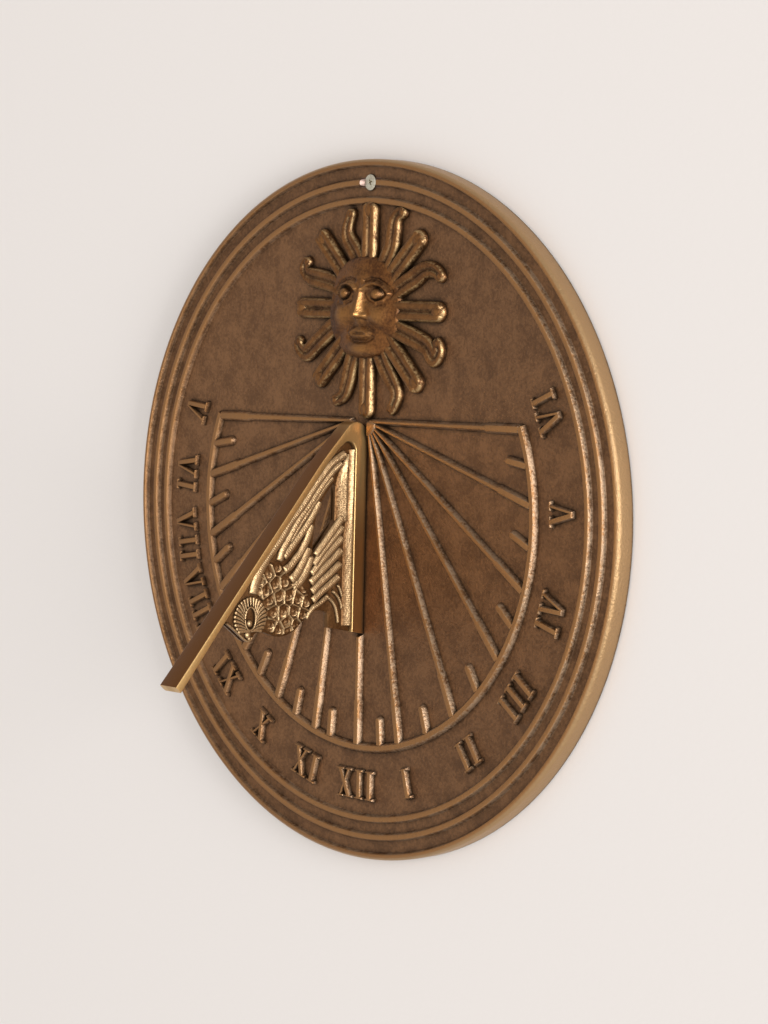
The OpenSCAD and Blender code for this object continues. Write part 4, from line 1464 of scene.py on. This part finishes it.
@dataclass
class BirdPanel:
    """The cast panel that fills the gnomon: web, foot strip, band, feathers, scales and head."""

    half_web: float = 1.5
    high: float = 1.2
    under: tuple[Point, ...] = (
        (78.2, -43.7), (75, -45.9), (71.6, -48.5), (68.4, -51), (66, -53), (64.3, -53.8), (63.1, -53.8),
        (62.3, -53.2), (61.8, -52.2), (61.2, -51), (60, -50.2), (55.6, -50.2), (53.6, -51), (51.6, -51.7),
        (49.2, -52.4), (46.6, -52.6), (44.2, -52.5), (41.8, -51.9), (39.5, -51), (37.2, -49.6), (33.6, -46.6),
        (30.4, -44), (28.6, -42.8), (26.8, -42.5), (23.8, -42.6), (21.4, -43), (20, -43.8), (19.4, -45),
        (19.3, -50.3))
    slot: tuple[Point, ...] = (
        (17.6, 12.7), (16.6, 10.4), (16.2, 8), (16.2, 2), (16.3, -3.2), (18.6, -6.6), (21.5, -9.8),
        (24, -13.8), (26.4, -17.4), (28, -17.4), (29.2, -16), (29.1, -11.4), (28.6, -7.3), (27.2, -1.6),
        (25.2, 3.8), (21.6, 8.4))
    ridge: Section = ((-1, 0), (-0.97, 0.4), (-0.86, 0.74), (-0.62, 0.93), (-0.3, 1.0), (0.3, 1.0),
                      (0.62, 0.93), (0.86, 0.74), (0.97, 0.4), (1, 0))
    vane: Section = ((-1, 0), (-0.97, 0.26), (-0.88, 0.46), (-0.7, 0.65), (-0.45, 0.8), (-0.15, 0.92),
                     (0.12, 0.99), (0.34, 1.0), (0.55, 0.92), (0.74, 0.74), (0.88, 0.48), (0.96, 0.24),
                     (1, 0))
    slope: Section = ((-1, 0.94), (-0.88, 1), (-0.6, 0.86), (-0.2, 0.66), (0.2, 0.46), (0.6, 0.26),
                      (0.9, 0.1), (1, 0))
    spread: float = 1.5
    long_feathers: tuple[Quill, ...] = (
        Quill(((62.5, -33.5), (61.4, -28.5), (59, -23.5), (55.8, -19), (51.6, -14.4), (47, -9.5), (43, -4),
               (39, 0), (34.5, 4.5), (30.5, 9.5), (27, 13.5), (23, 17.5), (19.5, 21), (15, 23.5),
               (11.5, 25.3)), 3.4, 2.7),
        Quill(((48.2, -20), (46.6, -15.5), (43.5, -11), (41, -7.5), (37, -2), (32, 3.5), (28, 8),
               (24, 12.5), (20, 16.5), (17, 19), (13.5, 21.4)), 2.6, 2.4),
        Quill(((42.5, -12), (40, -8.5), (37, -4.5), (33.5, -0.5), (30, 3.8), (27, 7), (24, 10.5),
               (21.5, 13), (19, 15.2)), 1.8, 2.5),
        Quill(((45.8, -18.6), (41.5, -14.2), (37.5, -10), (33.5, -5.8), (30.5, -2), (28, 1.5), (26, 5)),
              2.6, 2.6),
        Quill(((45.5, -24.3), (42, -22.3), (38.5, -19), (36, -16.5), (34, -13.5), (32.3, -10.5), (31, -7),
               (30, -5.2)), 2.6, 2.7),
        Quill(((41.5, -28.8), (38.5, -26.2), (36, -23), (34, -20), (32.5, -17.2), (31.3, -14.8)), 3.0, 3.0),
        Quill(((40.5, -32), (37, -30), (34.5, -27.5), (32.5, -24.5), (31, -21.5), (29.8, -18.5)), 2.8, 2.8))
    short_feathers: tuple[Quill, ...] = (
        Quill(((27.6, -18.6), (25.8, -16.4), (22.5, -13), (19, -9.4), (15.4, -5.6), (12.2, -2.0)),
              2.6, 2.8),
        Quill(((28.6, -22.6), (26.0, -19.6), (22.8, -16.2), (19.2, -12.8), (15.4, -9.4), (11.9, -6.2)),
              2.6, 2.8),
        Quill(((29.8, -26.6), (26.6, -23.4), (23.2, -20.2), (19.4, -17), (15.6, -13.8), (12.0, -10.9)),
              2.6, 2.8),
        Quill(((30.2, -30.4), (26.8, -27.4), (23.2, -24.6), (19.4, -21.8), (15.8, -19), (12.2, -16.4)),
              2.6, 2.8),
        Quill(((29.4, -34.4), (26.4, -31.8), (23, -29.2), (19.4, -26.8), (16, -24.4), (12.8, -22.2)),
              2.6, 2.8),
        Quill(((28.8, -38.2), (26, -35.8), (22.8, -33.6), (19.4, -31.6), (16.4, -29.6), (13.6, -27.8)),
              2.6, 2.6),
        Quill(((32.5, -45.6), (31, -43.4), (28.5, -41), (24, -38.8), (19.5, -36)), 1.5, 1.8),
        Quill(((17.6, -34.2), (14.8, -36.4), (12.8, -39.4), (12, -42.6)), 1.1, 1.0),
        Quill(((20.5, -36.6), (17.6, -38.6), (15.6, -41.4), (14.4, -45), (13.8, -48.6)), 1.2, 1.2),
        Quill(((14.6, -31.6), (13, -34), (11.9, -37.4)), 1.1, 1.0))
    band_path: tuple[Point, ...] = ((10.9, 25), (12.4, 19), (13.5, 12), (13.6, 5), (13.6, -1), (13.8, -4.5))
    strip_path: tuple[Point, ...] = ((8.1, 27), (8.1, 14.2), (8.3, 1.3), (9.1, -11.5), (9.3, -24.3),
                                     (9.3, -37.2), (9.3, -50))
    cheek_path: tuple[Point, ...] = ((77.2, -44.7), (73.6, -47.3), (70, -50.1), (67, -52.4), (64.9, -53.3),
                                     (63.4, -53), (62.8, -51.8))
    body_middle: Point = (45, -37)
    body_edge: tuple[Point, ...] = (
        (49, -19.8), (54.4, -20.8), (58.2, -24.6), (60.4, -29.6), (60, -34), (56, -38), (54.6, -43),
        (55.8, -48.4), (52, -50.8), (47, -52.1), (42, -51.6), (37.5, -49.4), (33.5, -46.2), (30.8, -43.2),
        (29.8, -39.4), (31.4, -35), (34, -31), (38, -28.4), (42, -26), (45.4, -22))
    scale_spots: tuple[Point, ...] = (
        (49, -22.8), (54.2, -25.2), (50.4, -29.8), (55.6, -32.2), (44.7, -29.2), (53.4, -36.6), (47.8, -35.4),
        (42.6, -35.4), (37.2, -37), (32.4, -38.6), (51.2, -42.2), (45.6, -42), (39.3, -42.2), (34.4, -43.6),
        (33.9, -32.4), (58.8, -28), (60.4, -33.2), (52.6, -47), (48.4, -49.6), (43.3, -46.3), (38.4, -48.3),
        (42.2, -50.4))
    eye: Point = (64.1, -43.8)
    eye_half: Point = (3.0, 5.0)
    head_r: float = 9.4
    beak: Point = (65.2, -50.6)

    def web(self, palette: Palette, frame_bar: GnomonFrame) -> None:
        """Makes the web with its slot.

        Args:
            palette: Finishes to use.
            frame_bar: The bar that the web fills.
        """
        bm = bmesh.new()
        start, end = frame_bar.style_point(24, 1.55), frame_bar.style_point(124, 1.55)
        outline = [(3.4, -53.2), (3.4, 31), (start.x - 1.2, start.y - 1.2), (end.x, end.y), *self.under]
        shell = bm.faces.new([bm.verts.new((x, y, -self.half_web)) for x, y in outline])
        shell.normal_update()
        if shell.normal.z < 0:
            shell.normal_flip()
        grown = bmesh.ops.extrude_face_region(bm, geom=[shell])["geom"]
        bmesh.ops.translate(bm, vec=(0, 0, 2 * self.half_web),
                            verts=[g for g in grown if isinstance(g, bmesh.types.BMVert)])
        bmesh.ops.bevel(bm, geom=[e for e in bm.edges if abs(e.verts[0].co.z - e.verts[1].co.z) < 0.01],
                        offset=0.4, segments=2, profile=0.5, affect="EDGES", material=-1)
        body = temporary(bm, "web_body")
        tool = bmesh.new()
        hole = tool.faces.new([tool.verts.new((x, y, -4)) for x, y in self.slot])
        grown = bmesh.ops.extrude_face_region(tool, geom=[hole])["geom"]
        bmesh.ops.translate(tool, vec=(0, 0, 8),
                            verts=[g for g in grown if isinstance(g, bmesh.types.BMVert)])
        combine(body, temporary(tool, "slot_cut"), "DIFFERENCE")
        bm = taken_back(body)
        stand_on_panel(bm, both=False)
        finish_piece(bm, "gnomon_web", Slot.GNOMON, palette.bird)

    def feather(self, bm: bmesh.types.BMesh, quill: Quill, rise: float) -> None:
        """Raises one feather with a shaft and leaning barbs.

        Args:
            bm: Mesh to add to.
            quill: The feather.
            rise: Height of its shaft above the web.
        """
        trail = Trail(quill.path)
        run = trail.length()

        def width(u: float) -> float:
            """Gives the width, round at the tip.

            Args:
                u: Fraction along the feather.

            Returns:
                The whole width in millimetres.
            """
            tip = max(0.0, 1 - (1 - u) * run / (0.55 * quill.tip_w))
            full = self.spread * lerp(quill.root_w, quill.tip_w, smooth(u * 1.5))
            return full * math.sqrt(max(0.04, 1 - tip * tip))

        raise_sweep(bm, trail, self.vane, width,
                    lambda u: rise * smooth(0.45 + (1 - u) * run / 1.6) * smooth(0.6 + u * run / 3),
                    self.half_web, rows=int(run * 5), ripple=0.22, pitch=0.9, lean=1.1)

    def feathers(self, palette: Palette) -> None:
        """Makes the long and the short feathers.

        Args:
            palette: Finishes to use.
        """
        for name, group in (("gnomon_feathers_long", self.long_feathers),
                            ("gnomon_feathers_short", self.short_feathers)):
            bm = bmesh.new()
            for i, quill in enumerate(group):
                self.feather(bm, quill, self.high * (1.4 - 0.03 * i))
            stand_on_panel(bm)
            finish_piece(bm, name, Slot.GNOMON, palette.bird, sharp=60)

    def band(self, palette: Palette) -> None:
        """Makes the band beside the slot and the sloped strip along the foot.

        Args:
            palette: Finishes to use.
        """
        bm = bmesh.new()
        raise_sweep(bm, Trail(self.band_path), self.slope,
                    lambda u: lerp(1.2, 6.2, smooth(u * 2.1)), lambda u: 1.8 * smooth(0.5 + (1 - u) * 8),
                    self.half_web, rows=180, ripple=0.14, pitch=0.9)
        raise_sweep(bm, Trail(self.strip_path), self.slope,
                    lambda u: lerp(2.3, 4.6, smooth((u - 0.3) / 0.2)), lambda u: 1.5,
                    self.half_web, rows=420, ripple=0.15, pitch=0.9)
        stand_on_panel(bm)
        finish_piece(bm, "gnomon_foot_strip", Slot.GNOMON, palette.bird, sharp=60)

    def scale_relief(self, u: float, z: float) -> float:
        """Gives the height of the body above the web: a raised net with a lit crescent in each mesh.

        Args:
            u: Distance out from the wall's side.
            z: Distance up.

        Returns:
            The height in millimetres.
        """
        near = sorted((math.hypot(u - a, z - b), a, b) for a, b in self.scale_spots)[:2]
        (d1, a, b), (d2, _, _) = near
        net = math.exp(-(((d2 - d1) / 0.85) ** 2))
        lean = ((a - u) * 0.75 + (b - z) * 0.66) / max(d1, 0.3)
        crescent = max(0.0, lean) ** 1.4 * math.exp(-(((d1 - 1.7) / 0.55) ** 2))
        pip = math.exp(-((d1 / 0.9) ** 2))
        return 0.15 + 1.15 * net + 0.95 * crescent + 0.35 * pip

    def scales(self, palette: Palette) -> None:
        """Makes the body as one draped patch of overlapping scales.

        Args:
            palette: Finishes to use.
        """
        bm = bmesh.new()
        rim = Trail((*self.body_edge, self.body_edge[0]))
        middle = Vector(self.body_middle)
        first = Vector(self.body_edge[0]) - middle
        start = math.atan2(first.y, first.x)
        cells = 120

        def place(u: float, v: float) -> Vector:
            """Gives a point's place: a square bent to the body's outline, its rim sunk.

            Args:
                u: Fraction across the body.
                v: Fraction up the body.

            Returns:
                The point, in millimetres.
            """
            a, b = 2 * u - 1, 2 * v - 1
            dx, dz = a * math.sqrt(1 - b * b / 2), b * math.sqrt(1 - a * a / 2)
            rho = math.hypot(dx, dz)
            outer = rim.at(((start - math.atan2(dz, dx)) / (2 * math.pi)) % 1.0)
            if rho > 1 - 1.5 / cells:
                return Vector((outer.x, outer.y, self.half_web - 0.5))
            spot = middle + (outer - middle) * rho
            fall = smooth((1 - rho) * 10 + 0.2)
            return Vector((spot.x, spot.y, self.half_web + self.scale_relief(spot.x, spot.y) * fall))

        draped_grid(bm, cells, cells, place)
        stand_on_panel(bm)
        finish_piece(bm, "gnomon_scales", Slot.GNOMON, palette.bird, sharp=70)

    def on_eye(self, angle: float, grow: float) -> Vector:
        """Gives a point on the eye's outline at an angle, the outline scaled by grow.

        Args:
            angle: Direction from the eye's middle, in radians.
            grow: Scale of the outline.

        Returns:
            The point on the drawing plane.
        """
        c, s = math.cos(angle), math.sin(angle)
        r = grow / math.sqrt((c / self.eye_half[0]) ** 2 + (s / self.eye_half[1]) ** 2)
        return Vector((self.eye[0] + r * c, self.eye[1] + r * s))

    def bird_head(self, palette: Palette) -> None:
        """Makes the round head: plumes that part from the beak, eye and beak.

        Args:
            palette: Finishes to use.
        """
        bm = bmesh.new()
        plumes = 23
        for i in range(plumes):
            out = math.radians(lerp(-38, 218, i / (plumes - 1)))
            root = self.on_eye(out + 0.42 * (out - math.pi / 2), 1.12)
            r = self.head_r * (1 - 0.09 * max(0.0, -math.sin(out)))
            tip = Vector((self.eye[0] + r * math.cos(out), self.eye[1] + r * math.sin(out)))
            raise_sweep(bm, bow((root.x, root.y), (tip.x, tip.y), 0.5 * math.cos(out), 5), self.ridge,
                        lambda u: lerp(0.75, 1.95, u) * math.sqrt(max(0.05, 1 - max(0.0, u * 6 - 5) ** 2)),
                        lambda u: 1.15 * smooth(0.5 + (1 - u) * 5), self.half_web, rows=22)
        rim = [self.on_eye(2 * math.pi * i / 20, 1.0) for i in range(20)]
        rim = [(p.x, p.y) for p in rim]
        raise_sweep(bm, Trail((*rim, rim[0])), self.ridge, lambda u: 0.95, lambda u: 1.25, self.half_web,
                    rows=80)
        for centre, r in (((self.eye[0] + 0.3, self.eye[1] - 2.0), 1.7), (self.beak, 1.7),
                          ((self.beak[0] - 1.0, self.beak[1] - 1.6), 1.3)):
            ball = bmesh.ops.create_uvsphere(bm, u_segments=20, v_segments=12, radius=r)["verts"]
            bmesh.ops.translate(bm, vec=(*centre, self.half_web - 0.2), verts=ball)
        raise_sweep(bm, Trail(self.cheek_path), self.ridge, lambda u: 0.9, lambda u: 0.8, self.half_web,
                    rows=60)
        stand_on_panel(bm)
        finish_piece(bm, "gnomon_head", Slot.GNOMON, palette.bird, sharp=60)

    def build(self, palette: Palette, frame_bar: GnomonFrame) -> None:
        """Makes the panel and dresses it.

        Args:
            palette: Finishes to use.
            frame_bar: The bar that the panel fills.
        """
        self.web(palette, frame_bar)
        self.feathers(palette)
        self.band(palette)
        self.scales(palette)
        self.bird_head(palette)


@dataclass
class WallScrew:
    """The countersunk screw that holds the dial, with its cross recess and thread."""

    place: Point = (0.0, 142.4)
    head_r: float = 3.4
    neck_r: float = 1.55
    face: float = 7.65
    head_edge: float = 0.3
    thread_r: float = 1.75
    core_r: float = 1.25
    thread_top: float = -1.0
    point_start: float = -27.35
    point_end: float = -32.35
    pitch: float = 1.5
    recess_w: float = 0.9
    recess_l: float = 3.8
    recess_t: float = 1.6
    recess_turn: float = 0.35

    def build(self, palette: Palette) -> None:
        """Makes the screw and dresses it.

        Args:
            palette: Finishes to use.
        """
        bm = bmesh.new()
        cone = self.face - self.head_edge
        turn_profile(bm, [(0, self.face), (self.head_r - 0.25, self.face), (self.head_r, self.face - 0.12),
                          (self.head_r, cone), (self.neck_r, cone - self.head_r + self.neck_r),
                          (self.neck_r, self.thread_top - 0.3), (0, self.thread_top - 0.3)], 48)
        body = temporary(bm, "screw_body")
        for turn in (0.0, math.pi / 2):
            tool = bmesh.new()
            made = bmesh.ops.create_cube(tool, size=1.0)["verts"]
            bmesh.ops.scale(tool, vec=(self.recess_l, self.recess_w, 2 * self.recess_t), verts=made)
            for vert in made:
                if vert.co.z < 0:
                    vert.co.x *= 0.35
                    vert.co.y *= 0.6
            bmesh.ops.rotate(tool, cent=(0, 0, 0), matrix=Matrix.Rotation(turn + self.recess_turn, 3, "Z"),
                             verts=made)
            bmesh.ops.translate(tool, vec=(0, 0, self.face), verts=made)
            combine(body, temporary(tool, "recess_cut"), "DIFFERENCE")
        bm = taken_back(body)
        around, rows = 24, 300
        span = self.thread_top - self.point_end

        def place(u: float, v: float) -> Vector:
            """Gives a point of the thread.

            Args:
                u: Fraction down the screw.
                v: Fraction round it.

            Returns:
                The point, in millimetres.
            """
            h = self.thread_top - u * span
            phase = (h / self.pitch + v) % 1.0
            crest = max(0.0, 1 - abs(phase - 0.5) / 0.28)
            fade = smooth((h - self.point_end) / (self.point_start - self.point_end))
            start = smooth((self.thread_top - h) / 1.5)
            r = (self.core_r + (self.thread_r - self.core_r) * crest * start) * max(fade, 0.05)
            a = 2 * math.pi * v
            return Vector((r * math.cos(a), r * math.sin(a), h))

        draped_grid(bm, rows, around, place)
        bmesh.ops.translate(bm, vec=(*self.place, 0), verts=bm.verts)
        stand_on_dial(bm)
        finish_piece(bm, "wall_screw_body", Slot.ZINC, palette.zinc, ["wall_screw"], sharp=35)


@dataclass
class GnomonScrew:
    """A slotted countersunk machine screw from behind into the gnomon's foot."""

    z: float
    name: str
    node: str
    floor: float = 2.5
    head_edge: float = 0.3
    head_r: float = 3.75
    thread_r: float = 2.0
    core_r: float = 1.65
    top: float = 11.7
    pitch: float = 0.7
    slot_w: float = 1.0
    slot_t: float = 0.9

    def build(self, palette: Palette) -> None:
        """Makes the screw and dresses it.

        Args:
            palette: Finishes to use.
        """
        bm = bmesh.new()
        cone = self.floor + self.head_edge
        neck = cone + self.head_r - self.thread_r
        turn_profile(bm, [(0, self.floor), (self.head_r - 0.2, self.floor), (self.head_r, self.floor + 0.12),
                          (self.head_r, cone), (self.thread_r, neck), (self.core_r, neck + 0.3),
                          (0, neck + 0.3)], 48)
        body = temporary(bm, "screw_body")
        tool = bmesh.new()
        made = bmesh.ops.create_cube(tool, size=1.0)["verts"]
        bmesh.ops.scale(tool, vec=(3 * self.head_r, self.slot_w, 2 * self.slot_t), verts=made)
        bmesh.ops.translate(tool, vec=(0, 0, self.floor), verts=made)
        combine(body, temporary(tool, "slot_cut"), "DIFFERENCE")
        bm = taken_back(body)
        rows, around = 90, 28

        def place(u: float, v: float) -> Vector:
            """Gives a point of the thread.

            Args:
                u: Fraction up the screw.
                v: Fraction round it.

            Returns:
                The point, in millimetres.
            """
            h = lerp(neck, self.top, u)
            phase = (h / self.pitch + v) % 1.0
            crest = max(0.0, 1 - abs(phase - 0.5) / 0.45)
            r = self.core_r + (self.thread_r - self.core_r) * crest
            a = 2 * math.pi * v
            return Vector((r * math.cos(a), r * math.sin(a), h))

        draped_grid(bm, rows, around, place)
        bmesh.ops.translate(bm, vec=(-SHIFT, self.z, 0), verts=bm.verts)
        stand_on_dial(bm)
        finish_piece(bm, self.name, Slot.SCREW, palette.steel, [self.node], sharp=35)


@dataclass(frozen=True)
class Viewpoint:
    """The photograph's camera, as solved from the rings."""

    location: tuple[float, float, float] = (0.99208, -0.92357, 0.09951)
    right: tuple[float, float, float] = (0.68197, 0.73099, 0.02382)
    up: tuple[float, float, float] = (-0.07014, 0.03296, 0.99699)
    ahead: tuple[float, float, float] = (-0.72801, 0.68159, -0.07375)
    lens: float = 109.24

    def build(self) -> None:
        """Makes the scene's camera."""
        data = bpy.data.cameras.new("photo_camera")
        data.lens = self.lens
        data.sensor_width = 36.0
        data.clip_start = 0.01
        camera = bpy.data.objects.new("photo_camera", data)
        turn = Matrix((self.right, self.up, [-a for a in self.ahead])).transposed()
        camera.matrix_world = Matrix.Translation(self.location) @ turn.to_4x4()
        bpy.context.scene.collection.objects.link(camera)
        bpy.context.scene.camera = camera


@dataclass(frozen=True)
class Room:
    """The pale wall, the broad window at the right and the surroundings."""

    wall: tuple[float, float, float] = (0.74, 0.695, 0.668)
    bright: tuple[float, float, float] = (1.0, 0.99, 0.97)
    front: tuple[float, float, float] = (0.6, 0.585, 0.57)
    shade: tuple[float, float, float] = (0.5, 0.485, 0.465)
    window_way: tuple[float, float, float] = (0.97, -0.235, 0.06)
    window_size: tuple[float, float] = (3.0, 5.0)
    window_away: float = 8.0
    window_power: float = 560.0
    door_way: tuple[float, float, float] = (0.68, -0.72, 0.12)
    door_size: tuple[float, float] = (0.9, 1.5)
    door_away: float = 4.5
    door_power: float = 42.0
    opening: float = 0.1514
    wall_gap: float = 0.0003

    def build_wall(self) -> None:
        """Makes the wall, which a camera behind it sees through and which is open behind the plate."""
        bm = bmesh.new()
        verts = [bm.verts.new((r, 0, 0)) for r in (self.opening, 0.4, 1.0, 3.0)]
        edges = [bm.edges.new(pair) for pair in zip(verts, verts[1:])]
        bmesh.ops.spin(bm, geom=verts + edges, cent=(0, 0, 0), axis=(0, 0, 1), angle=2 * math.pi,
                       steps=96, use_merge=True)
        stand_on_dial(bm)
        bmesh.ops.recalc_face_normals(bm, faces=bm.faces)
        bm.normal_update()
        bm.faces.ensure_lookup_table()
        if bm.faces[0].normal.y > 0:
            bmesh.ops.reverse_faces(bm, faces=bm.faces)
        bmesh.ops.translate(bm, vec=(0, self.wall_gap, 0), verts=bm.verts)
        mesh = bpy.data.meshes.new("wall")
        bm.to_mesh(mesh)
        bm.free()
        wall = bpy.data.objects.new("wall", mesh)
        bpy.context.scene.collection.objects.link(wall)
        material = bpy.data.materials.new("painted_wall")
        material.use_nodes = True
        material.node_tree.nodes.clear()
        bench = NodeBench(material.node_tree)
        where = bench.add("ShaderNodeTexCoord").outputs["Object"]
        bump = bench.add("ShaderNodeBump", None, Strength=0.12, Distance=0.0006,
                         Height=bench.noise(where, 420.0, 3.0)).outputs[0]
        paint = bench.add("ShaderNodeBsdfPrincipled", None, Base_Color=(*self.wall, 1), Roughness=0.8,
                          Normal=bump)
        clear = bench.add("ShaderNodeBsdfTransparent")
        behind = bench.add("ShaderNodeNewGeometry").outputs["Backfacing"]
        shown = bench.add("ShaderNodeMixShader", None, i0=behind, i1=paint.outputs[0], i2=clear.outputs[0])
        bench.add("ShaderNodeOutputMaterial", None, Surface=shown.outputs[0])
        mesh.materials.append(material)

    def build_lamp(self, name: str, way: tuple[float, float, float], away: float,
                   size: tuple[float, float], power: float) -> None:
        """Makes one soft rectangular lamp that faces the dial.

        Args:
            name: Name of the lamp.
            way: Direction from the dial to the lamp.
            away: Distance from the dial.
            size: Width and height.
            power: Power in watts.
        """
        data = bpy.data.lights.new(name, "AREA")
        data.shape = "RECTANGLE"
        data.size, data.size_y = size
        data.energy = power
        lamp = bpy.data.objects.new(name, data)
        where = Vector(way).normalized() * away
        lamp.location = where
        lamp.rotation_euler = (-where).to_track_quat("-Z", "Y").to_euler()
        bpy.context.scene.collection.objects.link(lamp)

    def build_lamps(self) -> None:
        """Makes the broad window at the right and the small doorway beside the viewer."""
        self.build_lamp("window", self.window_way, self.window_away, self.window_size, self.window_power)
        self.build_lamp("doorway", self.door_way, self.door_away, self.door_size, self.door_power)

    def build_world(self) -> None:
        """Makes surroundings that are bright at the right and in front, and dim at the upper left."""
        world = bpy.data.worlds.new("surroundings")
        bpy.context.scene.world = world
        world.use_nodes = True
        world.node_tree.nodes.clear()
        bench = NodeBench(world.node_tree)
        way = bench.add("ShaderNodeTexCoord").outputs["Generated"]
        toward = bench.add("ShaderNodeVectorMath", {"operation": "DOT_PRODUCT"}, i0=way,
                           i1=(0.55, -0.75, -0.35)).outputs["Value"]
        near = bench.blend(bench.ramp(toward, -0.6, 0.1), (*self.shade, 1), (*self.front, 1))
        colour = bench.blend(bench.ramp(toward, 0.2, 0.9), near, (*self.bright, 1))
        back = bench.add("ShaderNodeBackground", None, Color=colour, Strength=1.0)
        bench.add("ShaderNodeOutputWorld", None, Surface=back.outputs[0])

    def build(self) -> None:
        """Makes the wall, the lamps and the surroundings."""
        self.build_wall()
        self.build_lamps()
        self.build_world()
        bpy.context.scene.view_settings.view_transform = "Standard"


def main() -> None:
    """Builds the whole scene in order."""
    logging.basicConfig(level=logging.INFO, format="%(message)s")
    Viewpoint().build()
    Room().build()
    palette = Palette()
    DialPlate().build(palette)
    HourWork().build(palette)
    Numerals().build(palette)
    Sun().build(palette)
    bar = GnomonFrame()
    bar.build(palette)
    BirdPanel().build(palette, bar)
    WallScrew().build(palette)
    GnomonScrew(20.0, "gnomon_screw_upper_body", "gnomon_screw_upper").build(palette)
    GnomonScrew(-40.0, "gnomon_screw_lower_body", "gnomon_screw_lower").build(palette)


if __name__ == "__main__":
    main()
